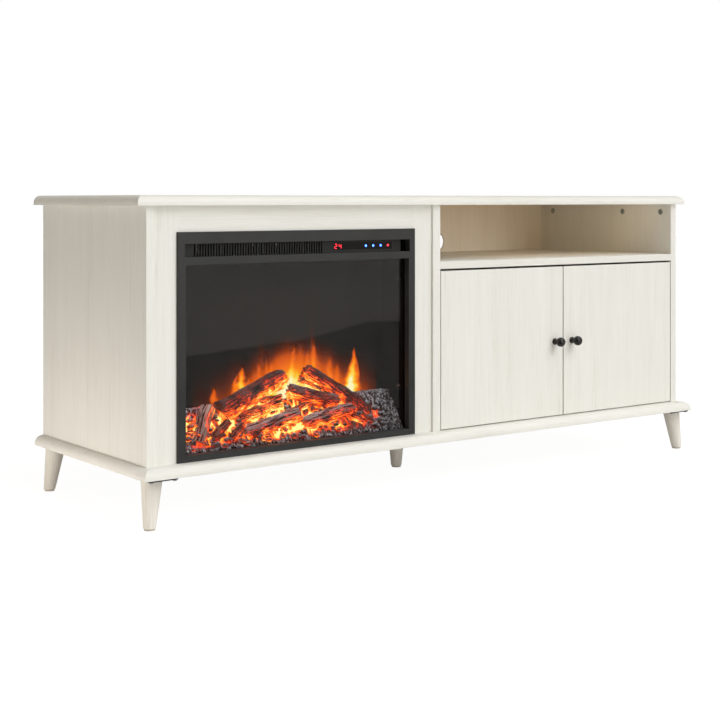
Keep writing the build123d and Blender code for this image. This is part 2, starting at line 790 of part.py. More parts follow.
# Fuel bed and logs -------------------------------------------------------------------------------
bed_centre = (bezel_left + bezel_right) / 2
# Each log: its two ends, as (across from the bed's middle, depth, height), and the radius at each.
logs = {
    "rear_left_log": [((-154, 60, 84), (-2, 88, 131), 18, 14)],
    "rear_right_log": [((70, 86, 146), (214, 62, 38), 15, 18)],
    "centre_log": [((10, 74, 108), (119, 62, 78), 12, 13)],
    "front_logs": [
        ((-212, 42, 30), (-178, 66, 92), 12, 11),
        ((-113, 40, 30), (17, 46, 56), 12, 11),
        ((30, 44, 38), (152, 42, 58), 12, 11),
    ],
}


def log_between(shape, extra=0.0, mode=Mode.ADD):
    """One round log of the list, made thicker by extra all round."""
    low, high, low_radius, high_radius = shape
    ends = [(bed_centre + x, front + y, floor_level + z) for x, y, z in (low, high)]
    rod(low_radius + extra, ends[0], ends[1], mode=mode, end_radius=high_radius + extra)


for name, shapes in logs.items():
    with BuildPart() as log:
        for shape in shapes:
            log_between(shape)
        chamfer(log.edges().filter_by(GeomType.CIRCLE), 1.5)
    save(log, name)

with BuildPart() as ember_bed:
    bed_ends = (inner_left + bed_gap, inner_right - bed_gap)
    with BuildSketch(Plane.YZ.offset(bed_ends[0])):
        with BuildLine():
            Polyline(
                (front + bed_front, inner_floor),
                (front + bed_front, floor_level + bed_lip),
                (front + bed_crest_depth, floor_level + bed_crest),
                (front + bed_back, floor_level + bed_crest),
                (front + bed_back, inner_floor),
                close=True,
            )
        make_face()
    extrude(amount=bed_ends[1] - bed_ends[0])
    with BuildSketch(Plane.YZ.offset(bed_ends[0] + bed_end_wall)):
        with BuildLine():
            Polyline(
                (front + bed_front + 26, inner_floor),
                (front + bed_crest_depth, floor_level + bed_hollow),
                (front + bed_back - 6, floor_level + bed_hollow),
                (front + bed_back - 6, inner_floor),
                close=True,
            )
        make_face()
    extrude(amount=bed_ends[1] - bed_ends[0] - 2 * bed_end_wall, mode=Mode.SUBTRACT)
    for shapes in logs.values():
        for shape in shapes:
            log_between(shape, log_seat_clearance, mode=Mode.SUBTRACT)
save(ember_bed, "ember_bed")

with BuildPart() as ember_led_board:
    board_y = (front + 66, front + 90)
    board_level = inner_floor + 4
    block((inner_left + 24, inner_right - 24), board_y, (board_level, board_level + board_thickness))
    with Locations((bed_centre, sum(board_y) / 2, inner_floor + 2)):
        with GridLocations(150, 1, 4, 1):
            Cylinder(2.5, 4)
    with Locations((bed_centre, sum(board_y) / 2, board_level + board_thickness + 0.9)):
        with GridLocations(42, 1, 12, 1):
            Box(5, 5, 1.8)
save(ember_led_board, "ember_led_board")

with BuildPart() as flame_screen:
    screen_y = (front + screen_depth, front + screen_depth + screen_thickness)
    block((inner_left, inner_right), screen_y, (inner_floor, inner_top - duct_height - screen_gap))
save(flame_screen, "flame_screen")

# Flame rotor, turned slowly by its motor -----------------------------------------------------------
rotor_y = front + rotor_depth
rotor_z = floor_level + rotor_level
motor_face = inner_left + motor_length
bush_face = inner_right - bush_length
shaft_radius = shaft_diameter / 2
bore_radius = shaft_radius + running_clearance

with BuildPart() as flame_rotor:
    shaft_start = motor_face - socket_depth + 2
    rod(shaft_radius, (shaft_start, rotor_y, rotor_z), (inner_right - 3, rotor_y, rotor_z))
    flag_run = bush_face - motor_face - 2 * flag_length
    for i in range(flag_count):
        x = motor_face + flag_length + flag_run * i / (flag_count - 1)
        with Locations(Location((x, rotor_y, rotor_z), (flag_turn * i, 0, 0))):
            Box(flag_length, flag_span, flag_thickness)
save(flame_rotor, "flame_rotor")

with BuildPart() as rotor_motor:
    rod(motor_diameter / 2, (inner_left, rotor_y, rotor_z), (motor_face, rotor_y, rotor_z))
    socket = (motor_face - socket_depth, rotor_y, rotor_z)
    rod(bore_radius, socket, (motor_face, rotor_y, rotor_z), mode=Mode.SUBTRACT)
save(rotor_motor, "rotor_motor")

# Heater: duct, element and cross-flow blower --------------------------------------------------------
duct_left = bezel_left + slat_start - duct_overlap
duct_right = bezel_left + slat_start + slat_count * slat_pitch + duct_overlap
duct_front = plate_back + sheet
duct_z = (inner_top - duct_height, inner_top)
axis_z = sum(duct_z) / 2
axis_y = front + impeller_depth
bush_radius = bush_diameter / 2

with BuildPart() as heater_duct:
    block((duct_left, duct_right), (duct_front, duct_front + duct_length), duct_z)
    block(
        (duct_left + duct_wall, duct_right - duct_wall),
        (duct_front, duct_front + duct_length),
        (duct_z[0] + duct_wall, duct_z[1] - duct_wall),
        mode=Mode.SUBTRACT,
    )
    hole = shaft_radius + wall_hole_gap
    wall = (duct_right - duct_wall, axis_y, axis_z)
    rod(hole, wall, (duct_right, axis_y, axis_z), mode=Mode.SUBTRACT)
save(heater_duct, "heater_duct")

with BuildPart() as heating_element:
    element_x = (duct_left + duct_wall, duct_right - duct_wall)
    element_y = (front + element_depth, front + element_depth + element_thickness)
    element_z = (duct_z[0] + duct_wall, duct_z[1] - duct_wall)
    block(element_x, element_y, element_z)
    bays = int((element_x[1] - element_x[0] - element_bar) // element_pitch)
    with Locations((sum(element_x) / 2, sum(element_y) / 2, sum(element_z) / 2)):
        with GridLocations(element_pitch, 1, bays, 1):
            Box(element_pitch - element_bar, element_thickness, duct_height * 0.8, mode=Mode.SUBTRACT)
save(heating_element, "heating_element")

drum = (duct_left + duct_wall + impeller_end_gap, duct_right - duct_wall - impeller_end_gap)
blade_radius = (impeller_diameter - blade_width) / 2
with BuildPart() as blower_impeller:
    for x in (drum[0], (sum(drum) - disc_thickness) / 2, drum[1] - disc_thickness):
        rod(impeller_diameter / 2, (x, axis_y, axis_z), (x + disc_thickness, axis_y, axis_z))
    for i in range(impeller_blades):
        angle = 360 / impeller_blades * i
        with Locations(Location((sum(drum) / 2, axis_y, axis_z), (angle, 0, 0))):
            with Locations((0, blade_radius, 0)):
                Box(drum[1] - drum[0], blade_width, blade_thickness)
    left_stub = duct_left + duct_wall + 2
    rod(shaft_radius, (left_stub, axis_y, axis_z), (drum[0], axis_y, axis_z))
    rod(shaft_radius, (drum[1], axis_y, axis_z), (duct_right + socket_depth - 2, axis_y, axis_z))
save(blower_impeller, "blower_impeller")

with BuildPart() as blower_motor:
    far_end = (duct_right + blower_motor_length, axis_y, axis_z)
    rod(blower_motor_diameter / 2, (duct_right, axis_y, axis_z), far_end)
    bore_end = (duct_right + socket_depth, axis_y, axis_z)
    rod(bore_radius, (duct_right, axis_y, axis_z), bore_end, mode=Mode.SUBTRACT)
save(blower_motor, "blower_motor")

with BuildPart() as shaft_bushes:
    rod(bush_radius, (bush_face, rotor_y, rotor_z), (inner_right, rotor_y, rotor_z))
    rod(bore_radius, (bush_face, rotor_y, rotor_z), (inner_right - 2, rotor_y, rotor_z), mode=Mode.SUBTRACT)
    bush_left = duct_left + duct_wall
    rod(bush_radius, (bush_left, axis_y, axis_z), (bush_left + bush_length - 1, axis_y, axis_z))
    low = (bush_left + 1, axis_y, axis_z)
    rod(bore_radius, low, (bush_left + bush_length - 1, axis_y, axis_z), mode=Mode.SUBTRACT)
save(shaft_bushes, "shaft_bushes")

with BuildPart() as thermal_cutout:
    y = front + element_depth + element_thickness / 2
    rod(cutout_diameter / 2, (duct_left - cutout_length, y, axis_z), (duct_left, y, axis_z))
save(thermal_cutout, "thermal_cutout")
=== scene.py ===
# %% [markdown]
# # An electric fireplace cabinet
# The cabinet is a long, low board carcass in ivory oak laminate. An electric fire with resin logs
# stands behind glass in its left bay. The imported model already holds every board, door, hinge and
# motor at its true size and place, so this lesson keeps those pieces and gives them real finishes.
# Only what a draughtsman's solid can't show is modelled here: bark, coals, flames and the display.

import math
import random

import bmesh
import bpy
from mathutils import Matrix, Vector, noise


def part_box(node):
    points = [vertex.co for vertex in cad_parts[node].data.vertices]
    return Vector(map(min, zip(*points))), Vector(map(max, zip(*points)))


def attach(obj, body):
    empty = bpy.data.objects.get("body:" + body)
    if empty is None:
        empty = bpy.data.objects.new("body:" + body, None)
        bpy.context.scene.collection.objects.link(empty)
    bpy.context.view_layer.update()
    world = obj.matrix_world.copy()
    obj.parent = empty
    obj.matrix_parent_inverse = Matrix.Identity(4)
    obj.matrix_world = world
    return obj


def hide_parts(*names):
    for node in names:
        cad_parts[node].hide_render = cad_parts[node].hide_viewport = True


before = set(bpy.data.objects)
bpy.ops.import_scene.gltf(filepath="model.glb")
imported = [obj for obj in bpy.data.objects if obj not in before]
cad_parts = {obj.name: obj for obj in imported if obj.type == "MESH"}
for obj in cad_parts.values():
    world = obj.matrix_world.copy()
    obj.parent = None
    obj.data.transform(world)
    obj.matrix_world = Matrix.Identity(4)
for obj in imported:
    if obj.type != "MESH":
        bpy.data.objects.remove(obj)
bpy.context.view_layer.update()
MM = 0.001

# %% [markdown]
# ## Where things are
# A piece that is asked for by name gives its lowest and highest corner in metres, so nothing here
# repeats a drawing. The fire's own measures start from the middle of its fuel bed, the front edge of
# the cabinet's boards and the upper face of the base panel.

# %% Levels and planes read from the model
panel_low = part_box("left_side_panel")[0]
bed_low, bed_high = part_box("ember_bed")
glass_low, glass_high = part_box("front_glass")
screen_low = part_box("flame_screen")[0]
window_low, window_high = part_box("display_window")
front = panel_low.y
base_top = panel_low.z
bed_middle = (bed_low.x + bed_high.x) / 2


def fire_point(across, depth, height):
    """A point of the fire in metres, from millimetres across its middle, behind the front, and up."""
    return Vector((bed_middle + across * MM, front + depth * MM, base_top + height * MM))


print("glass:", [round(side, 3) for side in glass_high - glass_low])

# %% [markdown]
# ## Camera
# The camera stands level, so that uprights stay upright, and the picture is slid down on the sensor
# instead of tilting the camera. Blender calls that slide the shift. A lens of about 70 mm at three
# metres keeps the long front from looking stretched.

# %% Camera
camera_data = bpy.data.cameras.new("camera")
camera_data.sensor_width = 36
camera_data.lens = 70.46
camera_data.shift_y = -0.2225
camera = bpy.data.objects.new("camera", camera_data)
camera.location = (-1.989, -2.580, 0.621)
camera.rotation_euler = (math.radians(90), 0, math.radians(-36.49))
bpy.context.scene.collection.objects.link(camera)
bpy.context.scene.camera = camera
print("lens:", camera_data.lens, "mm, shift:", camera_data.shift_y)

# %% [markdown]
# ## Colours and nodes
# Paint and laminate colours are easiest to name as sRGB hex values, the way a screen shows them, but
# shaders add up light, so they need linear numbers. One function turns the one into the other. Another
# adds a node, sets its properties and joins its sockets, which keeps a recipe to a few lines.


# %% Colour and node helpers
def linear(hex_colour):
    """Linear RGBA of an sRGB hex colour such as "#efe9de"."""
    channels = [int(hex_colour[i : i + 2], 16) / 255 for i in (1, 3, 5)]
    return [c / 12.92 if c <= 0.04045 else ((c + 0.055) / 1.055) ** 2.4 for c in channels] + [1]


def add(tree, kind, sockets, stops=(), **settings):
    """Add one node: sockets takes values or links by name or number, stops fills a colour ramp."""
    node = tree.nodes.new("ShaderNode" + kind)
    for name, value in settings.items():
        setattr(node, name, value)
    for key, value in sockets.items():
        if isinstance(value, bpy.types.NodeSocket):
            tree.links.new(value, node.inputs[key])
        else:
            node.inputs[key].default_value = value
    for number, (place, colour) in enumerate(stops):
        if number < 2:
            stop = node.color_ramp.elements[number]
        else:
            stop = node.color_ramp.elements.new(place)
        stop.position = place
        stop.color = linear(colour)
    return node


def start_material(name):
    """A new material: itself, its tree, its Principled shader and its Object coordinates."""
    made = bpy.data.materials.new(name)
    made.use_nodes = True
    tree = made.node_tree
    shader = tree.nodes["Principled BSDF"]
    return made, tree, shader, add(tree, "TexCoord", {}).outputs["Object"]


def wire(tree, shader, sockets):
    """Set or link sockets of the Principled shader."""
    for key, value in sockets.items():
        if isinstance(value, bpy.types.NodeSocket):
            tree.links.new(value, shader.inputs[key])
        else:
            shader.inputs[key].default_value = value


print("white in linear numbers:", linear("#ffffff"))

# %% [markdown]
# ## Ivory oak laminate
# The boards are particle board under a printed melamine paper, pressed with a fine matt grain. To the
# eye that is a low, wide sheen, pale threads a few millimetres wide that run the length of the board,
# and slow drifts of tone across it. Noise stretched along the grain draws the threads, and a second,
# much larger noise draws the drifts. Uprights have the grain running up, and shelves have it along.

# %% Laminate
THREAD = 3.0 * MM
THREAD_RUN = 130 * MM
DRIFT = 38 * MM
DRIFT_RUN = 520 * MM
PORE = 0.9 * MM
PORE_RUN = 26 * MM
NOISE_SPAN = {"From Min": 0.3, "From Max": 0.7}  # where nearly all values of a noise texture lie


def grain(tree, place, across, run, upright, detail):
    """Noise that is across wide and run long, along Z on an upright and along X on a shelf."""
    scale = (1 / across, 1 / across, 1 / run) if upright else (1 / run, 1 / across, 1 / across)
    stretched = add(tree, "Mapping", {"Vector": place, "Scale": scale})
    sockets = {"Vector": stretched.outputs[0], "Scale": 1.0, "Detail": detail}
    return add(tree, "TexNoise", {**sockets, "Roughness": 0.6, "Distortion": 0.6}).outputs["Fac"]


def middle_tone(dark, pale):
    """The hex colour two thirds of the way from dark to pale."""
    channels = [(int(dark[i : i + 2], 16) + 2 * int(pale[i : i + 2], 16)) // 3 for i in (1, 3, 5)]
    return "#" + "".join(f"{channel:02x}" for channel in channels)


def oak_laminate(name, upright, dark="#d8d4cb", pale="#f3f2ed", sheen=0.46):
    """Melamine laminate with a printed oak grain."""
    made, tree, shader, place = start_material(name)
    threads = grain(tree, place, THREAD, THREAD_RUN, upright, 5)
    drifts = grain(tree, place, DRIFT, DRIFT_RUN, upright, 3)
    pores = grain(tree, place, PORE, PORE_RUN, upright, 2)
    mixed = add(tree, "Mix", {0: 0.42, 2: threads, 3: drifts}).outputs[0]
    fine = add(tree, "Mix", {0: 0.22, 2: mixed, 3: pores}).outputs[0]
    tones = ((0.25, dark), (0.75, pale), (0.46, middle_tone(dark, pale)))
    colour = add(tree, "ValToRGB", {"Fac": fine}, stops=tones).outputs["Color"]
    sockets = {"Value": fine, **NOISE_SPAN, "To Min": sheen + 0.08, "To Max": sheen}
    rough = add(tree, "MapRange", sockets).outputs[0]
    soft_edge = add(tree, "Bevel", {"Radius": 0.7 * MM}, samples=4)
    sockets = {"Height": fine, "Strength": 0.1, "Distance": 0.2 * MM, "Normal": soft_edge.outputs[0]}
    bump = add(tree, "Bump", sockets)
    wire(tree, shader, {"Base Color": colour, "Roughness": rough, "Normal": bump.outputs[0], "IOR": 1.48})
    return made


oak_upright = oak_laminate("ivory_oak_laminate_upright", True)
oak_along = oak_laminate("ivory_oak_laminate_along", False)
oak_back = oak_laminate("back_board_print", True, "#ddd0be", "#f5eee3", 0.55)
print("laminates:", oak_upright.name, oak_along.name, oak_back.name)

# %% [markdown]
# ## Turned legs
# The legs are turned from solid wood, sealed and sprayed the same ivory. Paint over turned wood is
# smoother than laminate, with a soft gloss, and the grain only just shows through it.


# %% Leg lacquer
def lacquered_wood(name, dark, pale):
    """Sprayed lacquer over solid wood: faint lengthwise grain under a soft gloss."""
    made, tree, shader, place = start_material(name)
    veins = grain(tree, place, 2.4 * MM, 90 * MM, True, 4)
    colour = add(tree, "ValToRGB", {"Fac": veins}, stops=((0.3, dark), (0.7, pale))).outputs["Color"]
    orange_peel = add(tree, "TexNoise", {"Vector": place, "Scale": 1 / (1.5 * MM), "Detail": 2.0})
    bump = add(tree, "Bump", {"Height": orange_peel.outputs["Fac"], "Strength": 0.06, "Distance": 0.1 * MM})
    wire(tree, shader, {"Base Color": colour, "Roughness": 0.38, "Normal": bump.outputs[0], "IOR": 1.5})
    return made


leg_lacquer = lacquered_wood("ivory_lacquered_beech", "#e1dad0", "#eeeae2")
print("lacquer:", leg_lacquer.name)

# %% [markdown]
# ## Metals, plastics and paint
# Everything else on the cabinet is a small piece of hardware. Two recipes cover it. Coated and moulded
# surfaces get the fine pimpled texture of powder coat or of an etched mould. Bare metals get the
# uneven polish of plating, drawn by noise in the roughness. The grain of both is under a millimetre
# in life and is drawn at about that, so it reads as a finish and not as a pattern.

# %% Hardware finishes
HANDLING_MARK = 60 * MM


def coated(name, colour, roughness, grit=0.7 * MM, depth=0.12, ior=1.5, metallic=0.0):
    """Powder coat or etched plastic: one colour, broken by fine grit and slight handling marks."""
    made, tree, shader, place = start_material(name)
    marks = add(tree, "TexNoise", {"Vector": place, "Scale": 1 / HANDLING_MARK, "Detail": 4.0}).outputs[0]
    spread = {"Value": marks, **NOISE_SPAN, "To Min": max(0.0, roughness - 0.07), "To Max": roughness + 0.07}
    rough = add(tree, "MapRange", spread).outputs[0]
    worn = add(tree, "MapRange", {"Value": marks, **NOISE_SPAN, "To Min": 0.88, "To Max": 1.12}).outputs[0]
    tint = add(tree, "HueSaturation", {"Color": linear(colour), "Value": worn}).outputs[0]
    pimples = add(tree, "TexNoise", {"Vector": place, "Scale": 1 / grit, "Detail": 2.0}).outputs["Fac"]
    bump = add(tree, "Bump", {"Height": pimples, "Strength": depth, "Distance": 0.15 * MM})
    wire(tree, shader, {"Base Color": tint, "Roughness": rough, "Normal": bump.outputs[0]})
    wire(tree, shader, {"Metallic": metallic} if metallic else {"IOR": ior})
    return made


bezel_coat = coated("satin_powder_coat_dark_grey", "#2b2b2a", 0.48, depth=0.08)
housing_coat = coated("matt_black_steel_coat", "#070707", 0.62)
plate_coat = coated("black_powder_coat", "#1a1a1a", 0.45)
grille_abs = coated("moulded_black_abs", "#191918", 0.5)
knob_lacquer = coated("black_lacquered_zinc", "#141210", 0.3, grit=2.0 * MM, depth=0.04)
nylon = coated("moulded_black_nylon", "#1c1c1c", 0.55)
ivory_nylon = coated("moulded_ivory_nylon", "#cfc6b9", 0.5)
solder_mask = coated("green_solder_mask", "#1f6b3a", 0.35)
zinc = coated("bright_zinc_plate", "#b9bbbd", 0.3, depth=0.05, metallic=1.0)
nickel = coated("nickel_plate", "#c8c4bc", 0.22, depth=0.04, metallic=1.0)
dark_zinc = coated("die_cast_zinc", "#a9adb0", 0.42, depth=0.15, metallic=1.0)
foil = coated("bright_aluminium", "#d6d8da", 0.26, depth=0.1, metallic=1.0)
print("metals:", zinc.name, nickel.name, dark_zinc.name, foil.name)

# %% [markdown]
# ## Glass and display lens
# The front glass is 4 mm float glass, lightly smoked, and keeps its plain mirror-like surface. The
# display lens is a strip of black acrylic, polished, so it is almost a black mirror. The sheet behind
# the flames and the housing round it are painted dead matt, so that they don't shine in the firelight.

# %% Glass and lens
smoked_glass, tree, shader, place = start_material("smoked_float_glass")
wire(tree, shader, {"Base Color": linear("#d8d8d6"), "Roughness": 0.0})
wire(tree, shader, {"IOR": 1.5, "Transmission Weight": 1.0})

display_acrylic, tree, shader, place = start_material("polished_black_acrylic")
dust = add(tree, "TexNoise", {"Vector": place, "Scale": 1 / (8 * MM), "Detail": 5.0}).outputs["Fac"]
polish = add(tree, "MapRange", {"Value": dust, **NOISE_SPAN, "To Min": 0.04, "To Max": 0.09}).outputs[0]
wire(tree, shader, {"Base Color": linear("#060405"), "Roughness": polish, "IOR": 1.49})

screen_film = coated("smoked_diffusing_sheet", "#070606", 0.7, depth=0.02)
for dull in (screen_film, housing_coat):
    dull.node_tree.nodes["Principled BSDF"].inputs["Specular IOR Level"].default_value = 0.12
print("glass and lens:", smoked_glass.name, display_acrylic.name)

# %% [markdown]
# ## Dress the model's own pieces
# Each finish is given to the pieces that are made of it. Uprights and doors take the grain that runs
# up, and the boards that lie flat take the grain that runs along. The header lies along too.

# %% Finishes by piece
finishes = {
    oak_upright: "left_side_panel right_side_panel centre_partition left_stile right_stile "
    "left_door right_door",
    oak_along: "top_panel base_panel top_rail fixed_shelf adjustable_shelf rear_rails",
    oak_back: "cupboard_back",
    leg_lacquer: "leg_front_left leg_front_right leg_rear_left leg_rear_right leg_centre",
    plate_coat: "leg_plates rear_cover",
    nickel: "left_hinge_cups right_hinge_cups hinge_arms hinge_mounting_plates",
    dark_zinc: "cam_locks",
    knob_lacquer: "left_knob right_knob",
    nylon: "inlet_gland",
    ivory_nylon: "leg_glides shaft_bushes",
    bezel_coat: "bezel_frame",
    smoked_glass: "front_glass",
    grille_abs: "front_grille",
    display_acrylic: "display_window",
    solder_mask: "control_board ember_led_board",
    housing_coat: "firebox_housing",
    screen_film: "flame_screen",
    foil: "flame_rotor blower_impeller heating_element heater_duct",
    zinc: "leg_plate_screws hanger_bolts cam_bolts hinge_plate_screws insert_screws insert_brackets "
    "shelf_pins left_knob_screw right_knob_screw rotor_motor blower_motor thermal_cutout",
}
for finish, names in finishes.items():
    for name in names.split():
        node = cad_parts[name]
        if not node.material_slots:
            node.data.materials.append(finish)
        for slot in node.material_slots:
            slot.material = finish
print("finishes given:", len(finishes))

# %% [markdown]
# ## Making a piece from a mesh
# Every piece made here ends the same way. Its mesh goes into an object at the origin, gets its finish
# and smooth shading, and rides on the body that carries it. Values that were worked out for each
# corner, such as how hot it is, are stored on the mesh as attributes for the shader to read.


# %% Piece helper
def make_piece(shape, name, finish, values=None, smooth=True):
    """Turn a bmesh into a piece of the cabinet; values holds one number per vertex for each name."""
    mesh = bpy.data.meshes.new(name)
    shape.to_mesh(mesh)
    shape.free()
    mesh.materials.append(finish)
    if smooth:
        mesh.shade_smooth()
    else:
        mesh.shade_flat()
    for key, numbers in (values or {}).items():
        mesh.attributes.new(key, "FLOAT", "POINT").data.foreach_set("value", numbers)
    made = bpy.data.objects.new(name, mesh)
    bpy.context.scene.collection.objects.link(made)
    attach(made, "cabinet")
    print(name, len(mesh.polygons), "faces")
    return made


def only(parts, kind):
    """The parts of one kind, such as the vertices, out of what a bmesh operator gives back."""
    return [part for part in parts if isinstance(part, kind)]


def limit(value, low=0.0, high=1.0):
    """A value kept between low and high."""
    return max(low, min(high, value))


def swell(value, middle, width):
    """A smooth hump: 1 at the middle, falling to 0 a few widths away."""
    return math.exp(-(((value - middle) / width) ** 2))


# %% [markdown]
# ## Resin that glows
# Logs and coals are cast resin, painted with char and ash and lit from below, so the light leaks out
# through the thin, unpainted cracks. Three numbers on every corner of the mesh tell the shader what it
# needs: glow is how much light leaks there, tone runs from char to raw red wood, and the third is the
# pale ash dust on upward faces, which also stands as a painted highlight of light from above. A ramp
# turns glow into the colours of heat, from dull red to pale yellow.

# %% Glowing resin
HEAT = (
    (0.0, "#000000"),
    (1.0, "#fff0a0"),
    (0.14, "#5a0c02"),
    (0.3, "#dc3404"),
    (0.54, "#ff6c0c"),
    (0.78, "#ffb02a"),
)


def glowing_resin(name, char, wood, dust, strength):
    """Painted resin lit from inside: char to wood by tone, ash dust and painted top highlight, glowing by
    glow.
    """
    made, tree, shader, place = start_material(name)
    stored = [add(tree, "Attribute", {}, attribute_name=key) for key in ("glow", "tone", "ash_and_highlight")]
    glow, tone, ash_and_highlight = [node.outputs["Fac"] for node in stored]
    flecks = {"Vector": place, "Scale": 1 / (2.6 * MM), "Detail": 5.0, "Roughness": 0.7}
    grit = add(tree, "TexNoise", flecks).outputs["Fac"]
    mottle = add(tree, "Math", {0: tone, 1: grit, 2: -0.32}, operation="MULTIPLY_ADD").outputs[0]
    lifted = add(tree, "Math", {0: mottle, 1: grit}, operation="ADD", use_clamp=True).outputs[0]
    body = add(tree, "ValToRGB", {"Fac": lifted}, stops=((0.4, char), (0.9, wood))).outputs["Color"]
    # the pale ash colour on upward faces is also their painted highlight
    ash_and_highlight_mix = add(tree, "Mix", {0: ash_and_highlight, 6: body, 7: linear(dust)}, data_type="RGBA").outputs[2]
    flicker = add(tree, "MapRange", {"Value": grit, **NOISE_SPAN, "To Min": 0.72, "To Max": 1.12}).outputs[0]
    hot = add(tree, "Math", {0: glow, 1: flicker}, operation="MULTIPLY", use_clamp=True).outputs[0]
    heat = add(tree, "ValToRGB", {"Fac": hot}, stops=HEAT).outputs["Color"]
    bump = add(tree, "Bump", {"Height": grit, "Strength": 0.8, "Distance": 0.8 * MM})
    wire(tree, shader, {"Base Color": ash_and_highlight_mix, "Roughness": 0.62, "Normal": bump.outputs[0], "IOR": 1.5})
    wire(tree, shader, {"Emission Color": heat, "Emission Strength": strength})
    return made


# the last colour is the ash, which also serves as the painted highlight on upward faces
log_finish = glowing_resin("charred_log_resin", "#060505", "#7c3422", "#cfc8cf", 2.3)
ember_log_finish = glowing_resin("burning_log_resin", "#160805", "#a83c1a", "#c89c8a", 2.3)
coal_finish = glowing_resin("ember_bed_resin", "#0e0e11", "#4a3a40", "#d6dfee", 2.3)
ashen_log_finish = glowing_resin("ashen_log_resin", "#2a1c1a", "#b8705c", "#dccac4", 2.3)
print("resins:", log_finish.name, ember_log_finish.name, coal_finish.name, ashen_log_finish.name)

# %% [markdown]
# ## Fuel bed
# The bed is one translucent casting: a slope of coals that climbs from the glass to a crest behind the
# logs, grey and ashy along the front and at the right-hand end, and glowing between the logs. It could
# be built from hundreds of separate stones, but on the real thing they are one skin, so it is made as
# one: a fine grid is laid over the slope and pushed out by a cellular pattern whose cells are the
# coals. The gaps between cells are where the light gets out, and one spark still glows in the ash at
# the right-hand end.

# %% Slope and coals
BED_DEPTHS = (25.5, 78.0, 100.5)  # front edge, crest and rear edge, millimetres behind the front
BED_HEIGHTS = (12.0, 88.0, 88.0)  # the same three places, millimetres over the base panel
COAL = 15.0
ASH_LUMP = 4.4


def bed_height(depth):
    """Height of the plain slope at a depth, in millimetres."""
    share = limit((depth - BED_DEPTHS[0]) / (BED_DEPTHS[1] - BED_DEPTHS[0]))
    return BED_HEIGHTS[0] + (BED_HEIGHTS[1] - BED_HEIGHTS[0]) * share


def ashiness(across, depth):
    """How ashy the bed is: 1 along its front, at its right end and on its crest, 0 in its heart."""
    edge = noise.noise(Vector((across, depth, 3.0)) / 28.0) * 14
    front_strip = limit((36 + edge * 0.5 - depth) / 7)
    right_end = limit((across + edge - 176) / 26)
    left_end = limit((-232 - across + edge) / 16) + limit((depth - 62) / 14) * limit((-150 - across) / 20)
    crest = limit((depth - 80) / 8)
    return limit(max(front_strip, right_end, left_end, crest))


def cell(across, depth, size, seed):
    """Distance to the middle of the nearest cell and to the next one, as shares of the cell size."""
    wobble = noise.noise_vector(Vector((across, depth, seed)) / (size * 1.3)) * 0.35
    near = noise.voronoi(Vector((across / size, depth / size * 1.2, seed)) + wobble)[0]
    return near[0], near[1]


# %% [markdown]
# ## Skin of the fuel bed
# Every point of the grid is lifted by the coal or the ash lump it lies on, and by a little roughness.
# Cracks glow where the heart of the fire is near, and the pale ash lies thickest on the raised lumps,
# where it also paints their highlight. The rim is then drawn down to the floor of the housing and
# closed, so that the casting is one solid.

# %% Fuel bed skin
BED_GRID = (340, 96)
BED_CLEARANCE = 1.0  # millimetre left free at each end
shape = bmesh.new()
bmesh.ops.create_grid(shape, x_segments=BED_GRID[0], y_segments=BED_GRID[1], size=0.5)
values = {"glow": [], "tone": [], "ash_and_highlight": []}
half_length = (bed_high.x - bed_low.x) / 2 / MM - BED_CLEARANCE
for vert in shape.verts:
    across = vert.co.x * 2 * half_length
    depth = BED_DEPTHS[0] + (vert.co.y + 0.5) * (BED_DEPTHS[2] - BED_DEPTHS[0])
    ashy = ashiness(across, depth)
    coal_near, coal_next = cell(across, depth, COAL, 1.0)
    lump_near = cell(across, depth, ASH_LUMP, 5.0)[0]
    crack = limit(1 - (coal_next - coal_near) * 3.2)
    coal_lift = (0.55 - coal_near) * 7.5 * (1 - crack * 0.4)
    lump_lift = (0.55 - lump_near) * 4.2
    lift = coal_lift * (1 - ashy) + lump_lift * ashy
    lift += noise.fractal(Vector((across, depth, 0)) / 5.0, 1.0, 2.0, 4) * 1.1
    lift = limit(lift, -4.0, 3.4)
    vert.co = fire_point(across, depth - lift * 0.55, bed_height(depth) + lift * 0.8)
    heart = limit(swell(across, -40, 170) + 1.1 * swell(across, -222, 46)) * limit((depth - 26) / 7)
    patch = 0.5 + noise.noise(Vector((across, depth * 1.5, 9.0)) / 26.0)
    heat = crack * (0.5 + 0.9 * patch) + 0.9 * limit(patch - 0.35)
    spark = swell(across, 217, 9) * swell(depth, 49, 8) * (0.5 + 0.5 * crack)
    values["glow"].append(limit(heat * heart * (1 - 0.85 * ashy) * 1.25 + 0.62 * spark))
    drift = noise.noise(Vector((across, depth, 2.0)) / 12.0)
    values["tone"].append(limit(0.5 + drift + 0.3 * (1 - ashy) - crack))
    dusting = limit(0.42 + 2.6 * noise.noise(Vector((across, depth, 7.0)) / 3.0))
    # ash dust, thickest on the raised lumps, where it also paints their highlight
    values["ash_and_highlight"].append(limit(ashy * dusting * limit(lump_lift * 0.5 + 0.4) + 0.18 * (1 - crack) * dusting))
rim = [edge for edge in shape.edges if edge.is_boundary]
skirt = bmesh.ops.extrude_edge_only(shape, edges=rim)["geom"]
skirt_verts = only(skirt, bmesh.types.BMVert)
for vert in skirt_verts:
    vert.co.z = bed_low.z
bmesh.ops.holes_fill(shape, edges=only(skirt, bmesh.types.BMEdge))
bmesh.ops.recalc_face_normals(shape, faces=shape.faces)
for numbers in values.values():
    numbers.extend([0.0] * len(skirt_verts))
ember_bed = make_piece(shape, "ember_bed_casting", coal_finish, values)
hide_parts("ember_bed")

# %% [markdown]
# ## Logs
# A log starts as a plain tube. A ring of points is drawn out along it in many small steps, and its two
# ends are drawn inwards in shrinking rings and closed. The steps are small, because the bark's finest
# cracks have to find points to move.

# %% Tube of a log
LOG_STEP = 1.3
LOG_SIDES = 112
END_STEPS = (0.86, 0.62, 0.34, 0.12)


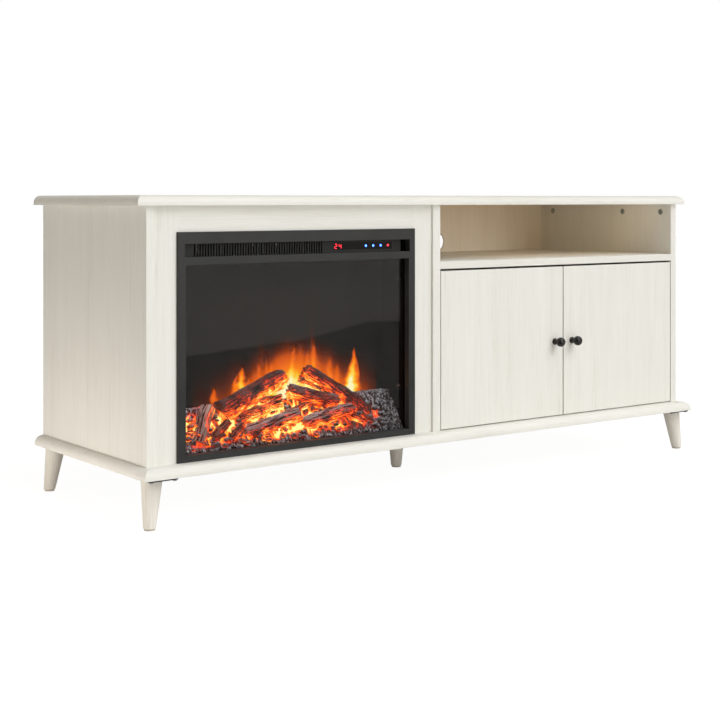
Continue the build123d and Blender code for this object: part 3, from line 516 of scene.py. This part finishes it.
def draw_tube(steps):
    """A unit tube along Z, its ends closed in shrinking rings."""
    tube = bmesh.new()
    bmesh.ops.create_circle(tube, segments=LOG_SIDES, radius=1)
    first = tube.edges[:]
    ring = first
    for _ in range(steps):
        grown = bmesh.ops.extrude_edge_only(tube, edges=ring)["geom"]
        bmesh.ops.translate(tube, verts=only(grown, bmesh.types.BMVert), vec=(0, 0, 1 / steps))
        ring = only(grown, bmesh.types.BMEdge)
    for end in (first, ring):
        size = 1.0
        for share in END_STEPS:
            grown = bmesh.ops.extrude_edge_only(tube, edges=end)["geom"]
            corners = only(grown, bmesh.types.BMVert)
            bmesh.ops.scale(tube, vec=(share / size, share / size, 1), verts=corners)
            size = share
            end = only(grown, bmesh.types.BMEdge)
        bmesh.ops.holes_fill(tube, edges=end)
    return tube


# %% [markdown]
# ## Bark
# Charred bark is split lengthwise into ridges, with finer cracks across them, and broken ends. Every
# point of the tube is moved in or out by noise that is stretched along the log: broad knots, narrow
# ridges, and cracks where the ridge noise crosses zero. The whole log also bends a little. Deep points
# are dark, or glow where the fire is near, and the ridges on top take pale ash, which also serves as
# a painted highlight of light from above.

# %% Bark
KNOT = (16.0, 48.0)  # width and run of the grains of noise, in millimetres
RIDGE = (3.1, 34.0)
CROSS_CRACK = (10.0, 6.0)
HOT_PATCH = 19.0


def bark_place(ring_point, long_way, grains, shift):
    """Where to read noise whose grains have a width round the log and a run along it."""
    width, run = grains
    return Vector((ring_point.x / width, ring_point.y / width, long_way / run)) + shift


def make_log(name, low, high, radii, seed, glow, finish, redness=0.5, top_ash_and_highlight=0.5, jag=5.0):
    """One charred log between two fire points, given in millimetres with a radius at each."""
    start, end = Vector(low), Vector(high)
    run = end - start
    side = run.cross(Vector((0, 0, 1))).normalized()
    rise = side.cross(run).normalized()
    tube = draw_tube(max(8, int(run.length / LOG_STEP)))
    numbers = {"glow": [], "tone": [], "ash_and_highlight": []}
    shift = Vector((seed * 7.3, seed * 3.1, seed * 5.7))
    for vert in tube.verts:
        # where the point lies on the plain tube
        turn = math.atan2(vert.co.y, vert.co.x)
        inward = math.hypot(vert.co.x, vert.co.y)
        along = vert.co.z
        radius = radii[0] + (radii[1] - radii[0]) * along
        ring_point = Vector((math.cos(turn), math.sin(turn), 0)) * radius
        long_way = along * run.length
        # how far the bark moves it
        broad = noise.noise(bark_place(ring_point, long_way, KNOT, shift))
        ridge = noise.fractal(bark_place(ring_point, long_way, RIDGE, shift), 0.8, 2.1, 4)
        cross = noise.noise(bark_place(ring_point, long_way, CROSS_CRACK, shift))
        split = limit(1 - abs(cross) * 9) * limit(broad * 3)
        crease = limit(1 - abs(ridge) * 3.6)
        lift = broad * 0.24 * radius + ridge * 1.9 - crease * 1.5 - split * 1.3
        reach = (radius + lift) * inward
        sway = noise.noise(Vector((along * 2.2, seed, 0)))
        sag = noise.noise(Vector((seed, along * 2.2, 4)))
        bend = Vector((sway, sag, 0)) * radius * 0.3
        ragged = noise.noise(ring_point / 5 + shift) * jag * (0.4 + 0.6 * inward)
        slide = ragged * (limit((along - 0.9) * 10) + limit((0.1 - along) * 10))
        offset = side * (math.cos(turn) * reach + bend.x) + rise * (math.sin(turn) * reach + bend.y)
        spot = start + run * along + run.normalized() * slide + offset
        vert.co = fire_point(*spot)
        # what the shader is told about it
        facing_up = math.sin(turn)
        near_fire = limit(0.75 - 0.55 * facing_up) * swell(spot.x, 0, 240)
        patch = limit(0.55 + 1.1 * noise.noise(spot / HOT_PATCH + shift))
        crack_heat = max(crease, split) * (0.3 + 0.9 * patch)
        under = limit(0.15 - facing_up) * patch * swell(spot.x, 0, 200)
        numbers["glow"].append(limit((crack_heat * near_fire + 0.8 * under) * glow))
        charred_end = max(limit(along * 6 - 5.1), limit(0.7 - along * 9)) * 0.8
        tone = redness + ridge * 0.9 + broad * 0.5 - crease * 1.1 - split * 0.5
        tone -= (1 - inward) * 0.6 + charred_end
        numbers["tone"].append(limit(tone))
        # pale ash on upward ridges, which also paints their highlight from above
        numbers["ash_and_highlight"].append(limit((facing_up + 0.15) * top_ash_and_highlight * limit(ridge * 2 + 0.35)))
    bmesh.ops.recalc_face_normals(tube, faces=tube.faces)
    return make_piece(tube, name, finish, numbers)


# %% [markdown]
# ## The six logs
# Two big logs lean together at the back, a short one lies between them, and three small ones lie in
# front and at the left end. Each takes the place of the plain solid that the model holds for it.

# %% Six logs
# name, lower end, higher end, radii, seed, glow, finish, redness, ash and painted top highlight
rear_left = make_log(
    "rear_left_log_bark", (-160, 62, 80), (2, 86, 134), (21, 19), 1, 1.15, log_finish, 0.62, 0.08
)
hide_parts("rear_left_log")
rear_right = make_log(
    "rear_right_log_bark", (60, 84, 140), (206, 64, 46), (20, 20), 2, 1.1, log_finish, 0.34, 0.1
)
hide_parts("rear_right_log")
centre = make_log(
    "centre_log_bark", (12, 72, 106), (119, 60, 76), (15, 16), 3, 0.75, log_finish, 0.22, 0.3
)
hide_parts("centre_log")
front_left = make_log(
    "front_left_log_bark", (-116, 46, 32), (18, 48, 60), (16, 14.5), 4, 1.0, log_finish, 0.5, 0.8
)
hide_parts("front_logs")
front_right = make_log(
    "front_right_log_bark", (28, 46, 40), (152, 46, 62), (15.5, 14.5), 5, 0.95, log_finish, 0.45, 0.8
)
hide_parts("front_logs")
end_log = make_log(
    "left_end_log_bark", (-222, 46, 26), (-186, 66, 92), (17, 14), 6, 2.0, ashen_log_finish, 0.9, 1.3
)
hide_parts("front_logs")

# %% [markdown]
# ## Burning wood between the logs
# Under the big logs lie pieces that have burned right through. They are made like the logs, but almost
# all of their skin glows, and small split sticks poke out between them. Each row gives the two ends,
# the two radii and how strongly the piece glows.

# %% Burning wood
EMBER_STICKS = (
    ((-118, 58, 60), (-14, 66, 86), (14, 13), 2.0),
    ((44, 80, 122), (146, 64, 74), (11, 10), 1.9),
    ((-70, 62, 92), (-8, 72, 98), (7, 5), 1.8),
    ((-10, 52, 62), (60, 60, 80), (8, 6), 1.7),
    ((-190, 36, 36), (-150, 46, 62), (10, 8), 1.3),
    ((-150, 34, 30), (-118, 46, 54), (9, 7), 1.2),
    ((130, 50, 54), (176, 38, 34), (9, 7), 1.5),
    ((176, 44, 48), (204, 34, 26), (8, 6), 1.1),
)
for number, (low, high, radii, heat) in enumerate(EMBER_STICKS):
    name = f"burning_stick_{number + 1}"
    make_log(name, low, high, radii, 11 + number, heat, ember_log_finish, 0.75, 0.4, 3.0)

# %% [markdown]
# ## Loose coals
# Small rounded coals fill the gaps and break the straight edge of the slope. Each is a coarse ball,
# flattened and roughened by noise, and all of them are one mesh. The random numbers start from a
# fixed seed, so that every run lays the same fire.

# %% Loose coals
rng = random.Random(7)
coals = bmesh.new()
numbers = {"glow": [], "tone": [], "ash_and_highlight": []}
for _ in range(150):
    across = rng.uniform(-252, 262)
    depth = rng.uniform(29, 70)
    size = rng.uniform(3.2, 7.0)
    hot = max(swell(across, -30, 130), 0.9 * swell(across, -228, 32)) * rng.random()
    centre_spot = Vector((across, depth - 1.5, bed_height(depth) + size * 0.25))
    ball = bmesh.ops.create_icosphere(coals, subdivisions=3, radius=1)["verts"]
    squash = Vector((rng.uniform(0.9, 1.4), rng.uniform(0.8, 1.1), rng.uniform(0.6, 0.9)))
    for vert in ball:
        way = vert.co.copy()
        rough = noise.fractal(way * 1.7 + centre_spot, 0.9, 2.1, 4)
        spot = centre_spot + Vector(w * s for w, s in zip(way, squash)) * size * (1 + 0.38 * rough)
        vert.co = fire_point(*spot)
        crack = limit(1 - abs(rough) * 6)
        numbers["glow"].append(limit(hot * (0.9 * crack + 0.9 * limit(-way.z)) * 1.3))
        numbers["tone"].append(limit(0.45 + rough))
        # ash dust on the upper faces, which also paints their highlight from above
        numbers["ash_and_highlight"].append(limit((way.z + 0.1) * (0.5 + rough) * (1.1 - hot)))
make_piece(coals, "loose_coals", coal_finish, numbers)

# %% [markdown]
# ## Flames
# The flames of an electric fire are light thrown on a dark sheet behind the logs. They have no
# thickness, so they are made the same way: a fine, flat mesh just in front of the sheet, with a
# brightness at every point. Each tongue is a soft spindle that narrows, leans and wavers as it rises,
# and behind them all hangs an orange haze. The shader reads the brightness for both colour and cover,
# and where it is nothing the sheet stays clear.

# %% Flames
# across, foot, tip, half width, strength, lean: millimetres over the base panel
TONGUES = (
    (-84, 96, 162, 12.0, 1.6, -3),
    (-98, 96, 148, 8.0, 0.7, -2),
    (-72, 96, 138, 8.0, 0.5, 3),
    (-152, 98, 128, 8.0, 0.45, 0),
    (-12, 116, 164, 7.0, 0.6, 2),
    (-44, 116, 170, 6.0, 0.3, 1),
    (-26, 116, 176, 5.0, 0.25, 2),
    (2, 92, 142, 15.0, 1.0, 4),
    (20, 92, 150, 14.0, 1.1, -4),
    (32, 92, 154, 17.0, 1.7, 6),
    (48, 92, 148, 11.0, 0.8, 3),
    (41, 130, 204, 8.0, 0.42, 1),
    (78, 126, 190, 7.0, 0.34, 1),
    (93, 126, 208, 8.0, 0.4, 2),
    (92, 160, 340, 6.0, 0.12, -3),
    (-38, 150, 300, 8.0, 0.08, 0),
    (134, 106, 170, 9.0, 0.3, 4),
    (154, 100, 158, 9.0, 0.34, 3),
    (186, 84, 150, 13.0, 1.1, 4),
    (193, 88, 186, 12.5, 1.8, 8),
    (207, 92, 164, 8.0, 0.6, 3),
)


def flame_heat(across, height):
    """How bright the flame light is at a point of the sheet."""
    waver = noise.noise(Vector((across / 30, height / 60, 0)))
    top = 196 + 36 * swell(across, 45, 90) + 10 * waver
    sides = swell(across, 44, 190) ** 1.5
    haze = 0.98 * limit((top - height) / 112) ** 1.6 * sides
    total = haze * (0.95 + 0.28 * noise.noise(Vector((across / 22, height / 110, 6))))
    for place, foot, tip, width, strength, lean in TONGUES:
        share = (height - foot) / (tip - foot)
        if share > 1:
            continue
        rise = max(share, 0.0)
        lick = noise.noise(Vector((height / 15, place, 2)))
        spine = place + lean * rise + 2.6 * math.sin(rise * 5 + place) * rise + 3.2 * lick
        wide = width * (1 - rise) ** 0.65 * (0.9 + 0.5 * noise.noise(Vector((height / 8, place, 8)))) + 0.5
        reach = (across - spine) / wide
        fade = (1 - rise) ** 0.75 * limit((height - foot + 16) / 20)
        total += strength * math.exp(-reach * reach * 1.1) * fade
    return total


# %% [markdown]
# ## Flame light
# The mesh is a fine grid that stands a hair's breadth in front of the sheet. Its shader has no colour
# of its own and only gives out light, from dark red where the flames are faint to pale yellow at their
# roots.

# %% Flame light
flame_size = (460.0, 260.0)
flame_low = (-200.0, 84.0)
shape = bmesh.new()
bmesh.ops.create_grid(shape, x_segments=300, y_segments=170, size=0.5)
heats = []
for vert in shape.verts:
    across = flame_low[0] + (vert.co.x + 0.5) * flame_size[0]
    height = flame_low[1] + (vert.co.y + 0.5) * flame_size[1]
    heats.append(flame_heat(across, height))
    vert.co = fire_point(across, 0, height)
    vert.co.y = screen_low.y - 0.4 * MM
bmesh.ops.recalc_face_normals(shape, faces=shape.faces)

flame_light, tree, shader, place = start_material("projected_flame_light")
heat = add(tree, "Attribute", {}, attribute_name="flame_level").outputs["Fac"]
halved = add(tree, "Math", {0: heat, 1: 0.5}, operation="MULTIPLY").outputs[0]
FLAME_STOPS = (
    (0.0, "#120501"),
    (1.0, "#fff6c0"),
    (0.08, "#7c2800"),
    (0.2, "#e05a00"),
    (0.36, "#ff8000"),
    (0.55, "#ffbe20"),
    (0.78, "#ffe060"),
)
colour = add(tree, "ValToRGB", {"Fac": halved}, stops=FLAME_STOPS).outputs["Color"]
cover = add(tree, "MapRange", {"Value": heat, "From Min": 0.0, "From Max": 0.3}).outputs[0]
wire(tree, shader, {"Base Color": linear("#000000"), "Roughness": 1.0, "Specular IOR Level": 0.0})
wire(tree, shader, {"Emission Color": colour, "Emission Strength": 1.5, "Alpha": cover})
make_piece(shape, "flame_light", flame_light, {"flame_level": heats})

# %% [markdown]
# ## Display
# Behind the black lens are a red two-figure temperature display and four touch keys with lights under
# them. A figure is seven little bars with pointed ends, of which some are lit. The keys light a small
# ring and dot each, three in blue and one in red.


# %% Display
def lamp(name, colour, strength):
    """A small light seen through the lens, brightest where its resin is thick."""
    made, tree, shader, place = start_material(name)
    cloud = add(tree, "TexNoise", {"Vector": place, "Scale": 1 / (1.2 * MM), "Detail": 2.0}).outputs["Fac"]
    sockets = {"Value": cloud, **NOISE_SPAN, "To Min": strength * 0.8, "To Max": strength}
    level = add(tree, "MapRange", sockets).outputs[0]
    wire(tree, shader, {"Base Color": linear("#050505"), "Roughness": 0.3})
    wire(tree, shader, {"Emission Color": linear(colour), "Emission Strength": level})
    return made


red_lamp = lamp("red_led", "#ff3040", 4.0)
blue_lamp = lamp("blue_led", "#3a6cff", 9.0)
window_height = window_high.z - window_low.z
window_middle = (window_low.z + window_high.z) / 2
lamp_plane = window_low.y - 0.15 * MM
figure_height = window_height * 0.6
figure_width = figure_height * 0.6
bar = figure_height * 0.12
print("figures:", round(figure_height / MM, 1), "mm high")
SEGMENTS = {
    "top": (0, 1, "flat"),
    "middle": (0, 0, "flat"),
    "bottom": (0, -1, "flat"),
    "upper_left": (-1, 0.5, "tall"),
    "upper_right": (1, 0.5, "tall"),
    "lower_left": (-1, -0.5, "tall"),
    "lower_right": (1, -0.5, "tall"),
}
FIGURES = {
    "2": "top upper_right middle lower_left bottom",
    "4": "upper_left upper_right middle lower_right",
}


# %% [markdown]
# ## Temperature figures
# Each lit bar starts as a circle of six points, stretched until its ends are blunt points, and is laid
# down or stood up in its place in the figure.


# %% Temperature figures
def add_bar(shape, spot, length, upright):
    """One lit bar: a short six-sided strip with pointed ends."""
    made = bmesh.ops.create_circle(shape, cap_ends=True, segments=6, radius=0.5)["verts"]
    for vert in made:
        vert.co.x = math.copysign(0.5 - bar / length / 2, vert.co.x) if abs(vert.co.x) < 0.4 else vert.co.x
        vert.co = Vector((vert.co.x * length, 0, vert.co.y * bar * 1.15))
    if upright:
        bmesh.ops.rotate(shape, verts=made, matrix=Matrix.Rotation(math.radians(90), 3, "Y"))
    bmesh.ops.translate(shape, verts=made, vec=spot)


def lift_off_lens(shape):
    """Give the flat marks a little thickness towards the viewer."""
    grown = bmesh.ops.extrude_face_region(shape, geom=shape.faces[:])["geom"]
    bmesh.ops.translate(shape, verts=only(grown, bmesh.types.BMVert), vec=(0, -0.1 * MM, 0))
    bmesh.ops.recalc_face_normals(shape, faces=shape.faces)


shape = bmesh.new()
for number, figure in enumerate("24"):
    middle = window_low.x + 4.5 * MM + number * figure_width * 2
    for name in FIGURES[figure].split():
        sideways, up, kind = SEGMENTS[name]
        right = middle + sideways * figure_width / 2
        spot = Vector((right, lamp_plane, window_middle + up * figure_height / 2))
        length = figure_width if kind == "flat" else figure_height / 2
        add_bar(shape, spot, length * 0.92, kind == "tall")
lift_off_lens(shape)
make_piece(shape, "temperature_figures", red_lamp, smooth=False)

# %% [markdown]
# ## Touch keys
# A key is a spot of light with a thin ring round it. The ring is a disc with its middle taken out.

# %% Touch keys
KEY_PLACES = (82.3, 101.5, 121.4, 140.6)  # millimetres from the lens's left end
KEY_RINGS = ((3.5 * MM, 2.9 * MM), (2.4 * MM, 0.0))  # outer and inner radius of the ring and the dot
for number, place in enumerate(KEY_PLACES):
    shape = bmesh.new()
    middle = Vector((window_low.x + place * MM, lamp_plane, window_middle))
    upright = Matrix.Rotation(math.radians(90), 3, "X")
    for outer, inner in KEY_RINGS:
        disc = bmesh.ops.create_circle(shape, cap_ends=True, segments=28, radius=outer)["verts"]
        bmesh.ops.rotate(shape, verts=disc, matrix=upright)
        bmesh.ops.translate(shape, verts=disc, vec=middle)
        if inner:
            faces = shape.faces[:]
            bmesh.ops.inset_region(shape, faces=faces, thickness=outer - inner)
            bmesh.ops.delete(shape, geom=faces, context="FACES")
    lift_off_lens(shape)
    finish = red_lamp if number == len(KEY_PLACES) - 1 else blue_lamp
    make_piece(shape, f"touch_key_light_{number + 1}", finish, smooth=False)

# %% [markdown]
# ## Studio
# White furniture stands best on a bright, seamless floor. The floor here is plain pale paint, and for
# the lens alone it is mixed with even white light, so that only a faint shadow is left. The cabinet
# is lit by the plain paint.


# %% Floor
def stage_plane(name, size, finish):
    """A flat square of the studio, which isn't part of the cabinet."""
    shape = bmesh.new()
    bmesh.ops.create_grid(shape, x_segments=1, y_segments=1, size=size)
    mesh = bpy.data.meshes.new(name)
    shape.to_mesh(mesh)
    shape.free()
    mesh.materials.append(finish)
    made = bpy.data.objects.new(name, mesh)
    bpy.context.scene.collection.objects.link(made)


FLOOR_WASH = 0.82  # share of white light in the floor that the lens sees
floor_paint, tree, shader, place = start_material("studio_floor_paint")
wire(tree, shader, {"Base Color": linear("#efeeec"), "Roughness": 0.9, "Specular IOR Level": 0.0})
lit_floor = add(tree, "Emission", {"Color": linear("#ffffff"), "Strength": 1.15})
seen = add(tree, "LightPath", {}).outputs["Is Camera Ray"]
washed = add(tree, "Math", {0: seen, 1: FLOOR_WASH}, operation="MULTIPLY").outputs[0]
blend = add(tree, "MixShader", {0: washed, 1: shader.outputs[0], 2: lit_floor.outputs[0]})
tree.links.new(blend.outputs[0], tree.nodes["Material Output"].inputs["Surface"])
stage_plane("studio_floor", 40, floor_paint)
print("white light in the floor that the lens sees:", FLOOR_WASH)

# %% [markdown]
# ## World
# The world gives a dim, slightly warm light from everywhere, so that the side in shade turns cream and
# the inside of the bay turns tan. The lens only ever sees it as white.

# %% World
world = bpy.data.worlds.new("studio")
world.use_nodes = True
tree = world.node_tree
for node in list(tree.nodes):
    tree.nodes.remove(node)
fill = add(tree, "Background", {"Color": linear("#fff3e4"), "Strength": 0.34})
backdrop = add(tree, "Background", {"Color": linear("#ffffff"), "Strength": 1.0})
seen = add(tree, "LightPath", {}).outputs["Is Camera Ray"]
both = add(tree, "MixShader", {0: seen, 1: fill.outputs[0], 2: backdrop.outputs[0]})
add(tree, "OutputWorld", {"Surface": both.outputs[0]})
bpy.context.scene.world = world
print("world light:", round(fill.inputs["Strength"].default_value, 2))

# %% [markdown]
# ## Suns
# Two wide suns light the whole front evenly, as big soft lamps far away would. The key comes from in
# front and above, and gives the tabletop and the base their bright edges. The second one is weaker and
# comes in low, so that it reaches under the tabletop's edge and into the open bay. Both are a touch
# cooler than the world's light, which leaves the side in shade cream.


# %% Key light and front fill
def wide_sun(name, energy, spread, towards):
    """A distant soft light, which lights the floor and the whole front evenly."""
    data = bpy.data.lights.new(name, "SUN")
    data.energy = energy
    data.angle = math.radians(spread)
    data.color = (0.94, 0.975, 1.0)
    made = bpy.data.objects.new(name, data)
    made.rotation_euler = Vector(towards).to_track_quat("Z", "Y").to_euler()
    bpy.context.scene.collection.objects.link(made)
    print(name, energy)


wide_sun("key_light", 1.85, 50, (0.28, -0.62, 0.78))
wide_sun("front_fill", 0.62, 24, (0.3, -1.0, 0.1))

# %% [markdown]
# ## Reflections in the glass
# Clean glass shows whatever stands in front of it. In a studio that is a pair of cards outside the
# picture: here a grey card that lifts the upper part of the glass, and a darker one below it, which
# meet along a bent edge. Only mirror-like rays see them, so they neither light the cabinet nor shade
# it. The corners are given as places on the glass, and a ray from the mirrored lens through each place
# finds the corner of the card.


# %% Reflection cards
def reflection_card(name, corners, shade):
    """A flat card with the given corners, seen only in reflections."""
    finish = bpy.data.materials.new(name)
    finish.use_nodes = True
    tree = finish.node_tree
    for node in list(tree.nodes):
        tree.nodes.remove(node)
    light = add(tree, "Emission", {"Color": linear(shade), "Strength": 1.0})
    add(tree, "OutputMaterial", {"Surface": light.outputs[0]})
    shape = bmesh.new()
    shape.faces.new([shape.verts.new(corner) for corner in corners])
    mesh = bpy.data.meshes.new(name)
    shape.to_mesh(mesh)
    shape.free()
    mesh.materials.append(finish)
    made = bpy.data.objects.new(name, mesh)
    bpy.context.scene.collection.objects.link(made)
    made.visible_camera = False
    made.visible_diffuse = False
    made.visible_shadow = False
    made.visible_transmission = False
    print(name, len(corners), "corners")


def seen_in_glass(across, height, distance):
    """The point of a card at a distance in front of the glass that the lens sees in a given spot of it."""
    spot = fire_point(across, 0, height)
    spot.y = glass_low.y
    mirrored = camera.location.copy()
    mirrored.y = 2 * glass_low.y - camera.location.y
    ray = spot - mirrored
    return mirrored + ray * ((glass_low.y - distance - mirrored.y) / ray.y)


CARD_DISTANCE = 0.3
CARD_EDGE = ((-420, 192), (-260, 202), (20, 219), (176, 247), (283, 241), (420, 236))
LOWER_CARD = ((-420, -60), (420, -60), *reversed(CARD_EDGE))
UPPER_CARD = (*CARD_EDGE, (420, 620), (-420, 620))
for name, outline, shade in (("lower_card", LOWER_CARD, "#282726"), ("upper_card", UPPER_CARD, "#a7a199")):
    reflection_card(name, [seen_in_glass(x, z, CARD_DISTANCE) for x, z in outline], shade)

# %% [markdown]
# ## Small lights
# Three thin strips do what cards and small lamps do in a studio. One is hidden under the top of the
# housing and picks out the bark, because light from outside hardly gets through the glass and back.
# One lies near the floor beside the left end, and lifts the base and the legs there. One sits under
# the front edge of the tabletop, and warms the open bay from inside. Neither the lens nor the glass
# sees any of them.


# %% Strip lights
def strip_light(name, spot, aim, size, power, colour, spread=180):
    """A long, thin light at one point, aimed at another."""
    data = bpy.data.lights.new(name, "AREA")
    data.shape = "RECTANGLE"
    data.size, data.size_y = size
    data.energy = power
    data.color = linear(colour)[:3]
    data.spread = math.radians(spread)
    made = bpy.data.objects.new(name, data)
    made.location = spot
    made.rotation_euler = (spot - aim).to_track_quat("Z", "Y").to_euler()
    made.visible_camera = False
    made.visible_glossy = False
    bpy.context.scene.collection.objects.link(made)
    print(name, power, "W")


strip_light("firebox_strip", fire_point(0, 30, 330), fire_point(0, 60, 60), (0.46, 0.03), 1.0, "#fff0ea")
side_spot = Vector((panel_low.x - 0.34, 0, 0.02))
side_aim = Vector((panel_low.x, 0, base_top - 0.03))
strip_light("low_side_fill", side_spot, side_aim, (0.7, 0.06), 1.05, "#fffaf2")
shelf_low, shelf_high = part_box("fixed_shelf")
bay_spot = Vector(((shelf_low.x + shelf_high.x) / 2 + 0.06, shelf_low.y + 0.02, shelf_high.z + 0.11))
bay_aim = Vector((bay_spot.x + 0.04, shelf_high.y, shelf_high.z + 0.1))
strip_light("bay_fill", bay_spot, bay_aim, (0.5, 0.02), 0.14, "#ffd69a", 130)

# %% [markdown]
# ## Finish
# The picture is shown with the plain display curve, so that white laminate stays white.

# %% Display curve
bpy.context.scene.view_settings.view_transform = "Standard"
